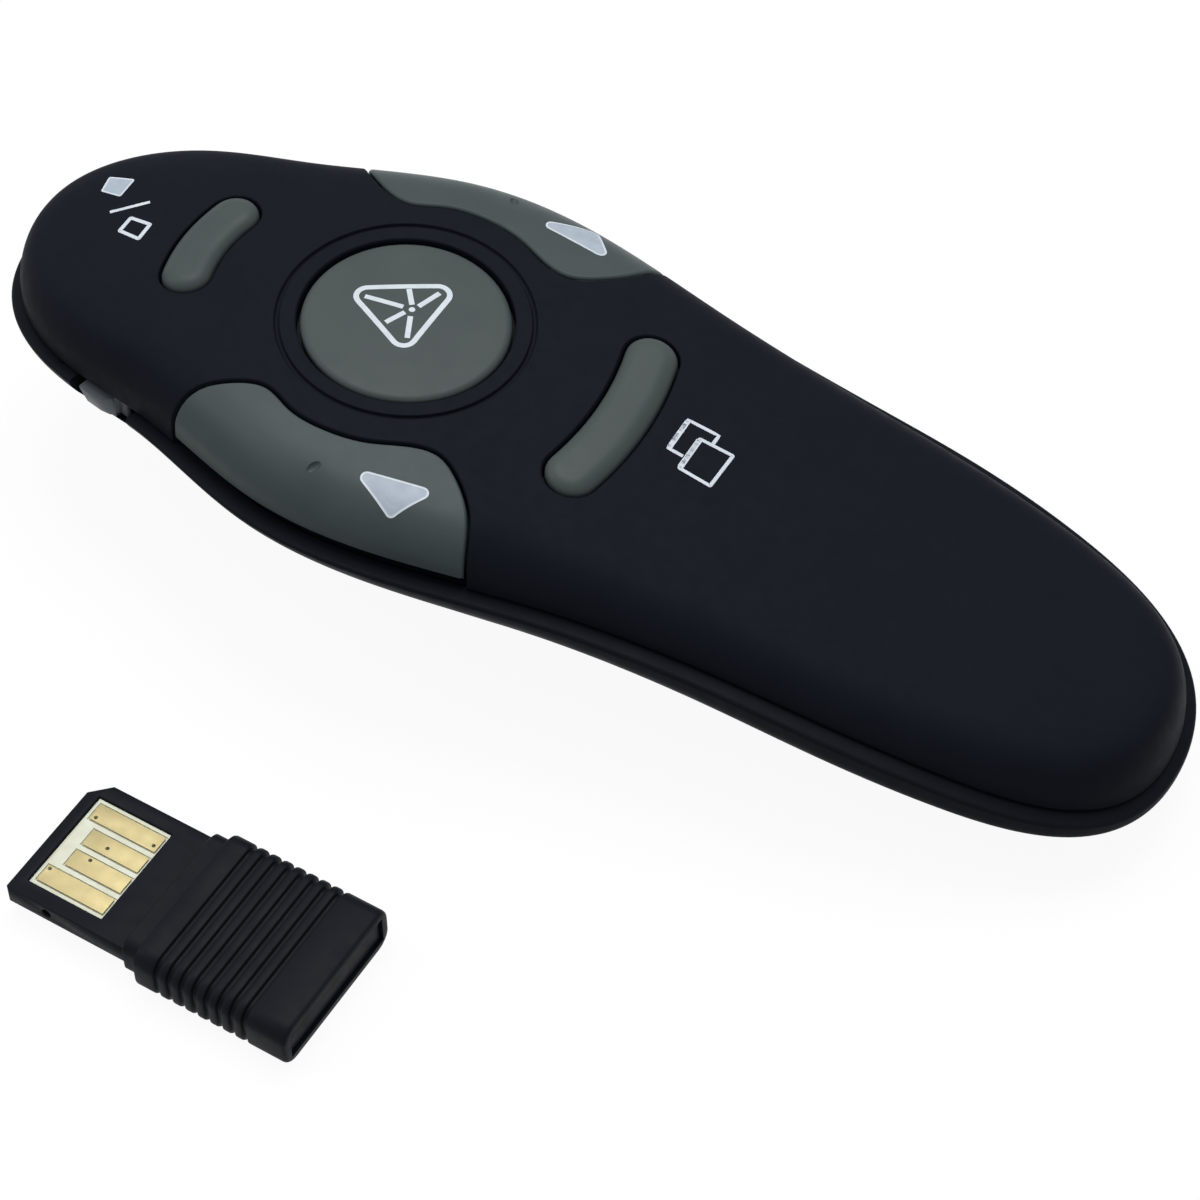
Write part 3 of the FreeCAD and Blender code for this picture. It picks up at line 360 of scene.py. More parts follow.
floor_mesh.materials.append(floor_paint)
print("floor shader nodes:", len(floor_tree.nodes))

# %% [markdown]
# The room does the same as the floor: the camera and the reflections see white, and what falls on the
# remote is a weak, slightly cool light from all round.

# %% Room
room_strength = 0.30
world = bpy.data.worlds.new("studio")
world.use_nodes = True
bpy.context.scene.world = world
air = world.node_tree
air.nodes.clear()
air_output = add(air, "ShaderNodeOutputWorld")
room_light = add(air, "ShaderNodeBackground")
room_light.inputs["Color"].default_value = (0.93, 0.96, 1.0, 1.0)
room_light.inputs["Strength"].default_value = room_strength
white_air = add(air, "ShaderNodeBackground")
air_blend = add(air, "ShaderNodeMixShader")
air.links.new(sees_white(air), air_blend.inputs["Fac"])
air.links.new(room_light.outputs[0], air_blend.inputs[1])
air.links.new(white_air.outputs[0], air_blend.inputs[2])
air.links.new(air_blend.outputs[0], air_output.inputs["Surface"])
print("room light:", room_strength)

# %% [markdown]
# Three square lamps give the soft highlights: a strong one high up and a little behind the remote, one
# from the side of its nose and a weak one from the camera's right.

# %% Lamps


def softbox(name, turn, height, width, power, distance=0.9):
    """Square lamp that faces the remote, from two angles in degrees."""
    data = bpy.data.lights.new(name, "AREA")
    data.shape = "SQUARE"
    data.size = width
    data.energy = power
    lamp = bpy.data.objects.new(name, data)
    bpy.context.collection.objects.link(lamp)
    way = towards(math.radians(turn), math.radians(height))
    lamp.location = camera_aim + way * distance
    lamp.rotation_mode = "QUATERNION"
    lamp.rotation_quaternion = (-way).to_track_quat("-Z", "Y")
    return lamp


lamps = [
    softbox("top_lamp", turn=200, height=70, width=0.6, power=6.2),
    softbox("side_lamp", turn=-75, height=42, width=0.5, power=1.7),
    softbox("front_lamp", turn=60, height=40, width=0.5, power=0.5),
]
print("lamps:", [lamp.name for lamp in lamps])

# %% [markdown]
# ## Smooth skins from rows of control points
# Both moulded shells are described by rows of control points that run from the nose to the tail. A
# cubic spline through those rows gives a surface without a single crease. The numbers are the real
# outline and three heights: the seam, the waist where the sides stand upright, and the crown.

# %% Outline, seam and crown
nose_reach = 34.66
tail_reach = 67.42
half_width = 19.67
station_shares = (0.0, 0.0, 0.07, 0.18, 0.30, 0.42, 0.54, 0.68, 0.84, 1.0, 1.0)
width_shares = (0.0, 0.257, 0.617, 0.685, 1.0, 0.989, 0.840, 0.762, 0.739, 0.479, 0.0)
seam_heights = (16.03, 16.52, 13.86, 5.71)
waist_heights = (16.19, 17.68, 13.31, 4.74)
crown_heights = (20.47, 22.54, 17.84, 11.00)
growth_shares = (1.0, 1.0, 1.0, 0.5, 0.0, 0.0, 0.0, 0.0, 0.0, 0.8, 0.8)


def height_at(x, heights):
    """Cubic through four heights, evenly spaced from nose to tail."""
    t = 3 * (x + nose_reach) / (nose_reach + tail_reach)
    total = 0.0
    for i, height in enumerate(heights):
        weight = 1.0
        for j in range(4):
            if j != i:
                weight = weight * (t - j) / (i - j)
        total = total + weight * height
    return total


def outline(margin, growth=0.0):
    """Control points of the half outline, grown by a margin and by a growth that counts at both ends."""
    points = []
    for station, width, share in zip(station_shares, width_shares, growth_shares):
        grow = margin + growth * share
        reach = nose_reach + tail_reach + 2 * grow
        points.append((-nose_reach - grow + station * reach, width * half_width + grow if width > 0 else 0.0))
    return points


print("outline points:", len(outline(0.0)), "length:", nose_reach + tail_reach)

# %% [markdown]
# Each row of control points has its own share of the outline and its own height. The top cover's rows
# stand upright, bend over the shoulder and meet at the crown line. Those of the lower shell start flat
# under the remote, swell a little past the outline and go on upright past the waist.

# %% Rows of control points
middle = (tail_reach - nose_reach) / 2
cover_growth = 0.60
crown_pull_share = 0.122
crown_sag = 0.23
rim_step = 1.20
keel_pull_share = 0.424
past_waist = 3.0


def upper_rows(inset):
    """Control rows of the top cover's skin, from the table up to the crown line."""
    rows = []
    spreads = (1.0, 1.0, 1.0, 0.88, 0.70, 0.527, 0.0)
    rises = (0.0, 0.0, 0.40, 0.92, 1.0, 1.0, 1.0)
    for j, (spread_share, rise) in enumerate(zip(spreads, rises)):
        pull = 1 - (1 - spread_share) * crown_pull_share
        row = []
        for x, y in outline(-inset, cover_growth):
            place = middle + (x - middle) * pull
            low = height_at(x, waist_heights)
            high = height_at(place, crown_heights) - inset
            z = 0.0 if j == 0 else low + (high - low) * rise + (crown_sag if j > 4 else 0.0)
            row.append((place, max(y, 0.0) * spread_share, z))
        rows.append(row)
    return np.array(rows)


def lower_rows(inset):
    """Control rows of the lower shell's skin, from the flat underside up past the seam."""
    rows = []
    spreads = (0.314, 0.453, 0.789, 1.035, 1.0, 1.0)
    levels = (0.0, 0.0, 0.60, 0.918, 1.0)
    for j, spread_share in enumerate(spreads):
        pull = 1 - (1 - spread_share) * keel_pull_share
        row = []
        for x, y in outline(rim_step - inset):
            waist = height_at(x, waist_heights)
            z = inset + (waist - inset) * levels[j] if j < len(levels) else waist + past_waist
            row.append((middle + (x - middle) * pull, max(y, 0.0) * spread_share, z))
        rows.append(row)
    return np.array(rows)


print("rows:", len(upper_rows(0.0)), "above and", len(lower_rows(0.0)), "below")

# %% [markdown]
# A clamped cubic spline begins and ends on its outer control points and is only drawn towards the others,
# so a few rows give a smooth skin. Its grid is closer near both ends, where the outline turns quickly.

# %% Smooth skin
along_count = 181
up_count = 73
crowded_share = 0.45


def basis(count, shares):
    """Weights of clamped cubic control points at the given shares of the way."""
    knots = np.concatenate([[0] * 3, np.linspace(0, 1, count - 2), [1] * 3])
    shares = np.clip(np.asarray(shares, float), 0, 1 - 1e-12)
    weights = np.array([(shares >= knots[i]) & (shares < knots[i + 1]) for i in range(len(knots) - 1)], float)
    for degree in range(1, 4):
        nxt = np.zeros((len(knots) - 1 - degree, len(shares)))
        for i in range(len(nxt)):
            left = knots[i + degree] - knots[i]
            right = knots[i + degree + 1] - knots[i + 1]
            if left > 0:
                nxt[i] += (shares - knots[i]) / left * weights[i]
            if right > 0:
                nxt[i] += (knots[i + degree + 1] - shares) / right * weights[i + 1]
        weights = nxt
    return weights.T


def skin_points(rows, along, across):
    """Points of the smooth surface on a grid, across by along."""
    return np.einsum("aj,bi,jik->abk", basis(rows.shape[0], across), basis(rows.shape[1], along), rows)


ease = np.linspace(0, 1, along_count)
lengthwise = 0.5 - 0.5 * np.cos(math.pi * (0.5 - 0.5 * np.cos(math.pi * ease)))
lengthwise = crowded_share * lengthwise + (1 - crowded_share) * ease
upwards = np.linspace(0, 1, up_count)
print("skin grid:", len(lengthwise), "by", len(upwards))

# %% [markdown]
# ## From a skin to a closed solid
# A shell with holes is easiest to cut when it starts as a closed solid. Every mesh here is made from
# plain lists of points and faces. Points that coincide are merged, and all faces are turned outward.

# %% Meshes from points
merge_reach = 1e-7


def new_object(name, points, faces):
    """Mesh object from points in millimetres."""
    mesh = bpy.data.meshes.new(name)
    mesh.from_pydata([Vector(p) * mm for p in points], [], faces)
    made = bpy.data.objects.new(name, mesh)
    bpy.context.collection.objects.link(made)
    return made


def tidy(made, merge=merge_reach, split=False, tell=False):
    """Merge points that coincide and point every face outward; split cuts large faces in triangles."""
    work = bmesh.new()
    work.from_mesh(made.data)
    bmesh.ops.remove_doubles(work, verts=work.verts, dist=merge)
    bmesh.ops.dissolve_degenerate(work, edges=work.edges, dist=merge)
    if split:
        bmesh.ops.triangulate(work, faces=[f for f in work.faces if len(f.verts) > 4])
    bmesh.ops.recalc_face_normals(work, faces=work.faces)
    open_edges = sum(1 for e in work.edges if not e.is_manifold)
    work.to_mesh(made.data)
    work.free()
    if tell:
        print(made.name, "faces:", len(made.data.polygons), "open edges:", open_edges)
    return made


print("points merge within", merge_reach / mm)

# %% [markdown]
# The half surface under a skin is mirrored, and one flat face closes it at the resting plane. A skin that
# ends at the waist is carried up to a flat lid and closed there as well.

# %% Closed solids under a skin
above_all = 60.0


def grid_faces(rows, columns, start=0, flip=False):
    """Quads of a grid of points."""
    faces = []
    for r in range(rows - 1):
        for c in range(columns - 1):
            a = start + r * columns + c
            quad = (a, a + 1, a + 1 + columns, a + columns)
            faces.append(quad[::-1] if flip else quad)
    return faces


def lid_face(start, other_start, columns):
    """One face that closes a row of points and its mirror image."""
    there = tuple(start + c for c in range(columns))
    return there + tuple(other_start + c for c in range(columns - 2, 0, -1))


def skin_solid(name, rows, lid=None):
    """Closed solid under a skin; lid is a flat height above which nothing goes."""
    grid = skin_points(rows, lengthwise, upwards)
    if lid is not None:
        top = grid[-1].copy()
        top[:, 2] = lid
        grid = np.concatenate([grid, top[None]])
    count, columns = grid.shape[:2]
    other = grid.copy()
    other[..., 1] *= -1
    points = np.concatenate([grid.reshape(-1, 3), other.reshape(-1, 3)])
    faces = grid_faces(count, columns) + grid_faces(count, columns, count * columns, True)
    half = count * columns
    faces.append(lid_face(0, half, columns))
    if lid is not None:
        last = (count - 1) * columns
        faces.append(lid_face(last, half + last, columns))
    return tidy(new_object(name, points, faces), split=True)


top_skin = skin_solid("top_skin", upper_rows(0.0))
low_skin = skin_solid("low_skin", lower_rows(0.0), above_all)
bpy.context.view_layer.update()
top_tree = BVHTree.FromObject(top_skin, bpy.context.evaluated_depsgraph_get())
low_tree = BVHTree.FromObject(low_skin, bpy.context.evaluated_depsgraph_get())
print("top skin faces:", len(top_skin.data.polygons), "lower skin faces:", len(low_skin.data.polygons))

# %% [markdown]
# Most tools that cut are upright prisms over a flat outline. One more is everything above the curved seam
# line, which parts the two shells.

# %% Upright tools and the seam
below_all = -20.0
beside_all = 40.0
past_tail = 90.0
seam_past = 15
seam_roof = 70.0


def prism(name, points, low, high):
    """Upright prism over a flat outline, in millimetres."""
    count = len(points)
    below = [(x, y, low) for x, y in points]
    above = [(x, y, high) for x, y in points]
    faces = [tuple(range(count))[::-1], tuple(range(count, 2 * count))]
    faces += [(i, (i + 1) % count, count + (i + 1) % count, count + i) for i in range(count)]
    return tidy(new_object(name, below + above, faces))


def block(name, x0, x1, y0, y1, z0, z1):
    """Block between two corners, in millimetres."""
    return prism(name, [(x0, y0), (x1, y0), (x1, y1), (x0, y1)], z0, z1)


def seam_tool(name, offset):
    """Everything above the seam line moved up by an offset."""
    inner_xs = np.linspace(-nose_reach, tail_reach, 120)
    xs = np.concatenate([[-nose_reach - seam_past], inner_xs, [tail_reach + seam_past]])
    side = [(x, height_at(min(max(x, -nose_reach), tail_reach), seam_heights) + offset) for x in xs]
    side += [(xs[-1], seam_roof), (xs[0], seam_roof)]
    count = len(side)
    points = [(x, y, z) for y in (-beside_all, beside_all) for x, z in side]
    faces = [tuple(range(count)), tuple(range(count, 2 * count))[::-1]]
    faces += [(i, count + i, count + (i + 1) % count, (i + 1) % count) for i in range(count)]
    return tidy(new_object(name, points, faces), split=True)


print("tools reach from", below_all, "to", above_all)

# %% [markdown]
# Cuts are booleans between closed solids, baked into the mesh at once. The manifold solver is quick, and
# closed solids are all that it asks for. Afterwards the faces are shaded smooth, with creases only where
# an edge turns sharply.

# %% Cutting, copying and shading
sharp_angle = math.radians(32)


def baked(made):
    """Turn what the modifiers of an object make into its plain mesh."""
    graph = bpy.context.evaluated_depsgraph_get()
    mesh = bpy.data.meshes.new_from_object(made.evaluated_get(graph))
    made.modifiers.clear()
    old = made.data
    made.data = mesh
    bpy.data.meshes.remove(old)
    return made


def carve(target, tool, how="DIFFERENCE"):
    """Cut, join or intersect two closed solids; the tool is used up."""
    step = target.modifiers.new("carve", "BOOLEAN")
    step.operation = how
    step.solver = "MANIFOLD"
    step.object = tool
    baked(target)
    bpy.data.objects.remove(tool)
    return target


def copy_of(source, name):
    """A separate copy of an object."""
    made = bpy.data.objects.new(name, source.data.copy())
    bpy.context.collection.objects.link(made)
    return made


def mirror_copy(source, name):
    """The same piece on the other side."""
    made = copy_of(source, name)
    made.data.transform(Matrix.Scale(-1, 4, (0, 1, 0)))
    made.data.flip_normals()
    return made


def smooth(made, angle=sharp_angle):
    """Smooth shading with creases only at real edges."""
    for face in made.data.polygons:
        face.use_smooth = True
    made.data.set_sharp_from_angle(angle=angle)
    return made


print("creases from", round(math.degrees(sharp_angle)), "degrees")

# %% [markdown]
# ## Points on the skin
# Holes, grooves and printed signs all follow the crowned surface. Two kinds of probe find it: one
# drops straight down, the other flies out from the middle and finds the flank.

# %% Probes


def on_skin(x, y):
    """Point and normal of the crowned skin above one place, in millimetres."""
    point, normal, _, _ = top_tree.ray_cast(Vector((x, y, above_all)) * mm, Vector((0, 0, -1)))
    return np.array(point / mm), np.array(normal)


def on_flank(start, way, tree=top_tree):
    """Point and normal where a line from inside leaves the skin."""
    point, normal, _, _ = tree.ray_cast(Vector(start) * mm, Vector(way).normalized())
    normal = np.array(normal)
    return np.array(point / mm), normal if normal @ np.array(way) > 0 else -normal


print("crown over the round key:", round(float(on_skin(0.0, 0.0)[0][2]), 2))

# %% [markdown]
# A rounded edge, a groove and a printed stroke all are a flat profile carried along a line on the skin.
# The solid that this gives is cut away from a cover, or stays on it as a layer of paint.

# %% Sweeps
edge_clear = 0.35
edge_past = 0.02


def sweep(name, points, ups, profile, loop, inward=1.0):
    """Closed solid from a flat profile carried along a line; profile pairs are (sideways, up)."""
    points = np.array(points)
    count = len(points)
    ups = np.array(ups)
    if loop:
        along = np.roll(points, -1, 0) - np.roll(points, 1, 0)
        ups = (np.roll(ups, 1, 0) + ups + np.roll(ups, -1, 0)) / 3
    else:
        along = np.gradient(points, axis=0)
        before = ups[np.maximum(np.arange(count) - 1, 0)]
        after = ups[np.minimum(np.arange(count) + 1, count - 1)]
        ups = (before + ups + after) / 3
    along /= np.linalg.norm(along, axis=1)[:, None]
    sides = np.cross(along, ups) * inward
    sides /= np.linalg.norm(sides, axis=1)[:, None]
    ups = np.cross(sides, along) * inward
    size = len(profile)
    body = [points[i] + s * sides[i] + u * ups[i] for i in range(count) for s, u in profile]
    faces = []
    for i in range(count if loop else count - 1):
        j = (i + 1) % count
        for k in range(size):
            n = (k + 1) % size
            faces.append((i * size + k, i * size + n, j * size + n, j * size + k))
    if not loop:
        faces.append(tuple(range(size)))
        faces.append(tuple((count - 1) * size + k for k in range(size))[::-1])
    return tidy(new_object(name, body, faces))


def round_edge(radius, steps=5):
    """Profile of a tool that rounds an edge; its material lies at positive sideways and below."""
    past = radius + edge_past
    arc = [(radius - radius * math.sin(a), -radius + radius * math.cos(a))
           for a in np.linspace(0, math.pi / 2, steps + 1)]
    return [(-edge_clear, edge_clear), (past, edge_clear), (past, 0.0)] + arc + [(-edge_clear, -radius)]


print("points of a rounded edge:", len(round_edge(edge_clear)))

# %% [markdown]
# The round key is a circle. The keys before and behind it are slots that bend round it, with a half
# circle at each end.

# %% Outlines of the round and the bent keys


def circle(radius, count=144, x=0.0, y=0.0):
    """Points of a circle, about the round key's axis unless a place is given."""
    turns = np.arange(count) * 2 * math.pi / count
    return [(x + radius * math.cos(a), y + radius * math.sin(a)) for a in turns]


def slot_points(x, width, reach, bow, margin, cap_steps=14, side_steps=26):
    """Outline of a bent slot whose hollow side faces the round key."""
    side = -1.0 if x > 0 else 1.0
    centre = x + side * bow
    half = width / 2 + margin
    angle = math.asin(reach / bow)

    def at(radius, turn):
        return (centre - side * radius * math.cos(turn), radius * math.sin(turn))

    points = [at(bow + half, t) for t in np.linspace(-angle, angle, side_steps)]
    for turn, way in ((angle, 1), (-angle, -1)):
        mid = np.array(at(bow, turn))
        out = np.array([-side * math.cos(turn), math.sin(turn)]) * way
        on = np.array([side * math.sin(turn), math.cos(turn)]) * way
        points += [tuple(mid + half * (math.cos(a) * out + math.sin(a) * on))
                   for a in np.linspace(0, math.pi, cap_steps + 2)[1:-1]]
        if way > 0:
            points += [at(bow - half, t) for t in np.linspace(angle, -angle, side_steps)]
    return points


print("points of a circle:", len(circle(1.0)))

# %% [markdown]
# The inner edge of a page key is a wave through twelve points, drawn as a natural cubic spline. Moved
# sideways by a margin, the same wave gives the key and the slightly larger hole round it.

# %% Wave of the page keys
page_head = -13.1
page_length = 27.85
page_floor = 5.0
over_crown = 50.0


def page_line(margin):
    """Wavy inner edge of a page key from head to tail, moved by a margin."""
    shares = (0.0, 0.06, 0.15, 0.25, 0.34, 0.47, 0.60, 0.71, 0.79, 0.87, 0.955, 1.0)
    reaches = (0.845, 0.722, 0.628, 0.590, 0.640, 0.668, 0.640, 0.574, 0.556, 0.615, 0.745, 0.905)
    given = np.array([(page_head + s * page_length, r * half_width) for s, r in zip(shares, reaches)])
    stops = np.concatenate([[0], np.cumsum(np.linalg.norm(np.diff(given, axis=0), axis=1))])
    steps = np.diff(stops)
    size = len(given)
    left = np.eye(size)
    right = np.zeros((size, 2))
    for i in range(1, size - 1):
        left[i, i - 1:i + 2] = (steps[i - 1], 2 * (steps[i - 1] + steps[i]), steps[i])
        right[i] = 6 * ((given[i + 1] - given[i]) / steps[i] - (given[i] - given[i - 1]) / steps[i - 1])
    bend = np.linalg.solve(left, right)
    line = []
    for t in np.linspace(0, stops[-1], 90):
        i = min(int(np.searchsorted(stops, t, "right")) - 1, size - 2)
        a, b, h = stops[i + 1] - t, t - stops[i], steps[i]
        line.append(bend[i] * a ** 3 / (6 * h) + bend[i + 1] * b ** 3 / (6 * h)
                    + (given[i] / h - bend[i] * h / 6) * a + (given[i + 1] / h - bend[i + 1] * h / 6) * b)
    line = np.array(line)
    along = np.gradient(line, axis=0)
    along /= np.linalg.norm(along, axis=1)[:, None]
    return line + np.stack([along[:, 1], -along[:, 0]], 1) * margin


def page_prism(name, margin):
    """Upright prism over the right page key, open past the flank."""
    line = page_line(margin)
    corners = [(line[-1][0], beside_all), (line[0][0], beside_all)]
    return prism(name, [tuple(p) for p in line] + corners, page_floor, over_crown)


print("wave of the page keys:", len(page_line(0.0)), "points")

# %% [markdown]
# On the skin the same edge runs up one flank, over the crown and down the flank again. On the crown the
# skin is found from above, and on the steep flanks from inside, one height after another.

# %% Edge of a page key on the skin
crown_slope = 0.6
shoulder_gap = 0.12


def leave_skin(path, z):
    """Where a level path from inside the case leaves the crowned skin at one height."""
    for here, there in zip(path[:-1], path[1:]):
        start = np.array((*here, z))
        way = np.array((*there, z)) - start
        reach = np.linalg.norm(way)
        hit, normal, _, _ = top_tree.ray_cast(Vector(start) * mm, Vector(way / reach), reach * mm)
        if hit is not None:
            normal = np.array(normal)
            return np.array(hit / mm), normal if normal @ way > 0 else -normal
    return None


def page_loop(margin, foot):
    """The same edge on the skin: up one flank, along the wave and down the other flank."""
    line = page_line(margin)
    crown = []
    for i, (x, y) in enumerate(line):
        hit, normal, _, _ = top_tree.ray_cast(Vector((x, y, above_all)) * mm, Vector((0, 0, -1)))
        if hit is not None and normal.z > crown_slope:
            crown.append((i, np.array(hit / mm), np.array(normal)))
    flanks = []
    for i, top_spot, _ in (crown[0], crown[-1]):
        head = i < len(line) / 2
        path = list(line[i::-1]) if head else list(line[i:])
        path.append((path[-1][0], beside_all))
        flank = []
        for z in np.linspace(height_at(top_spot[0], seam_heights) + foot, top_spot[2] - shoulder_gap, 26):
            found = leave_skin([tuple(p) for p in path], z)
            if found is not None:
                flank.append(found)
        flanks.append(flank if head else flank[::-1])
    spots = flanks[0] + [(p, n) for _, p, n in crown] + flanks[1]
    return [s[0] for s in spots], [s[1] for s in spots]


print("the same edge on the skin:", len(page_loop(0.0, 0.0)[0]), "points")

# %% [markdown]
# ## Shells with rolled edges
# Each cover is one grid of points: up the outer skin, round the rolled edge at the seam and back along
# the inner skin. Building the edge into the grid keeps it even all the way round the tail. The seam line
# is curved, so every column of points meets it at its own share of the way.

# %% Where a skin meets the seam
fine = np.linspace(0, 1, 401)


def reaches_seam(grid, gap):
    """Share of the way at which each column of a skin reaches the seam moved by a gap."""
    level = grid[..., 2] - height_at(grid[..., 0], seam_heights) - gap
    shares = []
    for c in range(grid.shape[1]):
        i = int(np.argmax(level[:, c] > 0))
        low, high = level[i - 1, c], level[i, c]
        shares.append((i - 1 - low / (high - low)) / (len(fine) - 1))
    return np.array(shares)


def picked(grid, shares):
    """One point per column at its own share of the way."""
    place = np.clip(shares, 0, 1) * (len(fine) - 1)
    low = np.minimum(place.astype(int), len(fine) - 2)
    part = (place - low)[:, None]
    columns = np.arange(grid.shape[1])
    return grid[low, columns] * (1 - part) + grid[low + 1, columns] * part


def outward_of(ring):
    """Level direction out of the case for each point of a half ring."""
    along = np.gradient(ring[:, :2], axis=0)
    along[0] = (0, 1)
    along[-1] = (0, -1)
    along /= np.linalg.norm(along, axis=1)[:, None]
    return np.stack([-along[:, 1], along[:, 0], np.zeros(len(ring))], 1)


def between(grid, first, last, count):
    """Rows of points between two shares of each column."""
    return [picked(grid, first + (last - first) * k / count) for k in range(count + 1)]


print("steps up the finer skin:", len(fine))

# %% [markdown]
# The top cover ends just above the seam line and the lower shell just below it, which leaves a hair of
# air between the rolled rims.

# %% Closed shells
gap_half = 0.08
upper_wall = 1.6
lower_wall = 1.7
upper_inside_steps = 34
upper_outside_steps = 66
lower_outside_steps = 52
lower_inside_steps = 28


def half_grid_solid(name, rows, caps):
    """Mirror a stack of half rings into one closed solid."""
    grid = np.array(rows)
    count, columns = grid.shape[:2]
    grid[:, 0, 1] = 0.0
    grid[:, -1, 1] = 0.0
    other = grid.copy()
    other[..., 1] *= -1
    half = count * columns
    faces = grid_faces(count, columns) + grid_faces(count, columns, half, True)
    if caps:
        faces += [lid_face(r * columns, half + r * columns, columns) for r in (0, count - 1)]
    points = np.concatenate([grid.reshape(-1, 3), other.reshape(-1, 3)])
    return tidy(new_object(name, points, faces), 2 * merge_reach, split=True, tell=True)


edge_turns = np.linspace(0, math.pi / 2, 7)
upper_outer = skin_points(upper_rows(0.0), lengthwise, fine)
upper_inner = skin_points(upper_rows(upper_wall), lengthwise, fine)
lower_outer = skin_points(lower_rows(0.0), lengthwise, fine)
lower_inner = skin_points(lower_rows(lower_wall), lengthwise, fine)
ones = np.ones(len(lengthwise))


def top_shell_rows(radius=0.22):
    """Inner skin from the crown down to the seam, then the outer skin back up to the crown."""
    rows = between(upper_inner, ones, reaches_seam(upper_inner, gap_half), upper_inside_steps)
    low = reaches_seam(upper_outer, gap_half)
    high = reaches_seam(upper_outer, gap_half + radius)
    for a in edge_turns[:-1]:
        ring = picked(upper_outer, low + (high - low) * (1 - math.cos(a)))
        rows.append(ring - outward_of(ring) * radius * (1 - math.sin(a)))
    return rows + between(upper_outer, high, ones, upper_outside_steps)


def bottom_shell_rows(radius=0.38):
    """Outer skin from the underside to the rolled rim, then the inner skin back down."""
    top = reaches_seam(lower_outer, -gap_half)
    start = reaches_seam(lower_outer, -gap_half - radius)
    rows = between(lower_outer, ones * 0.0, start, lower_outside_steps)
    for a in edge_turns[1:]:
        ring = picked(lower_outer, start + (top - start) * math.sin(a))
        rows.append(ring - outward_of(ring) * radius * (1 - math.cos(a)))
    rim = reaches_seam(lower_inner, -gap_half)
    return rows + between(lower_inner, rim, ones * 0.0, lower_inside_steps)


top_shell = half_grid_solid("top_shell", top_shell_rows(), caps=False)
bottom_shell = half_grid_solid("bottom_shell", bottom_shell_rows(), caps=True)

# %% [markdown]
# ## Inner details taken over from the frame
# Bosses, bulkheads, saddles and the tongue are already exact in the frame, so they are taken over from
# there: each frame piece is trimmed to what lies inside the wall and joined to its shell.

# %% Inner details


def frame_copy(node_name, name):
    """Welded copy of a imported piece."""
    source = frame["nodes"][node_name]
    made = copy_of(source, name)
    made.matrix_world = source.matrix_world.copy()
    made.data.materials.clear()
    work = bmesh.new()
    work.from_mesh(made.data)
    bmesh.ops.remove_doubles(work, verts=work.verts, dist=2 * merge_reach)
    bmesh.ops.recalc_face_normals(work, faces=work.faces)
    open_edges = sum(1 for e in work.edges if not e.is_manifold)
    work.to_mesh(made.data)
    work.free()
    print(name, "faces:", len(made.data.polygons), "open edges:", open_edges)
    return made


top_details = frame_copy("top_cover", "top_details")
bite = 0.1
tongue_inset = 0.5
tongue_root = 0.6
below_seam = skin_solid("below_seam", upper_rows(tongue_inset))
carve(below_seam, seam_tool("seam_up", tongue_root))
inside_top = skin_solid("inside_top", upper_rows(upper_wall - bite))
carve(inside_top, below_seam, "UNION")
carve(top_details, inside_top, "INTERSECT")
carve(top_shell, top_details, "UNION")

rim_clear = 0.7
bottom_details = frame_copy("bottom_cover", "bottom_details")
carve(bottom_details, skin_solid("inside_low", lower_rows(lower_wall - bite), above_all), "INTERSECT")
carve(bottom_details, seam_tool("rim_room", -rim_clear))
carve(bottom_shell, bottom_details, "UNION")
print("shell faces:", len(top_shell.data.polygons), len(bottom_shell.data.polygons))

# %% [markdown]
# ## Openings in the covers
# The keys sit in holes of the top cover with a hair of air all round. Every hole has a slightly
# rounded edge, as a mould leaves it, made with a tool that is swept along the hole's outline.

# %% Holes in the top cover
key_gap = 0.22
hole_roll = 0.22
hole_floor = 12.0
round_key_radius = 8.5
round_gap_share = 1.4
page_hole_foot = -0.4
page_hole_roll = 0.24
# place, width, half length and bow radius of each bent slot
slots = {"blank": (-18.75, 4.1, 3.75, 14.5), "window": (19.35, 4.3, 6.85, 30.0)}


def on_crown(points):
    """Skin points and normals above a flat outline."""
    found = [on_skin(x, y) for x, y in points]
    return [f[0] for f in found], [f[1] for f in found]


def hole(target, name, points, radius):
    """Cut a hole over a closed outline and round its edge."""
    carve(target, prism(name + "_tool", points, hole_floor, over_crown))
    spots, ups = on_crown(points)
    inward = edge_side(points)
    carve(target, sweep(name + "_edge", spots, ups, round_edge(radius), loop=True, inward=inward))


def edge_side(points):
    """Sign that makes a sweep's sideways axis point out of a closed outline."""
    x, y = np.array(points).T
    area = np.sum(x * np.roll(y, -1) - np.roll(x, -1) * y)
    return 1.0 if area > 0 else -1.0


hole(top_shell, "laser_hole", circle(round_key_radius + round_gap_share * key_gap), hole_roll)
for slot_name, sizes in slots.items():
    hole(top_shell, slot_name + "_hole", slot_points(*sizes, key_gap), hole_roll)

page_hole = page_prism("page_hole", key_gap)
carve(page_hole, seam_tool("page_hole_foot", 0.0), "INTERSECT")
page_points, page_ups = page_loop(key_gap, page_hole_foot)
page_edge = sweep("page_edge", page_points, page_ups, round_edge(page_hole_roll), loop=False)
for tool in (page_hole, page_edge):
    carve(top_shell, mirror_copy(tool, tool.name + "_left"))
    carve(top_shell, tool)

print("top cover faces with its holes:", len(top_shell.data.polygons))

# %% [markdown]
# A fine groove runs round the round key. Its profile is a small channel with rounded lips, so that the
# groove shows as one even dark line.

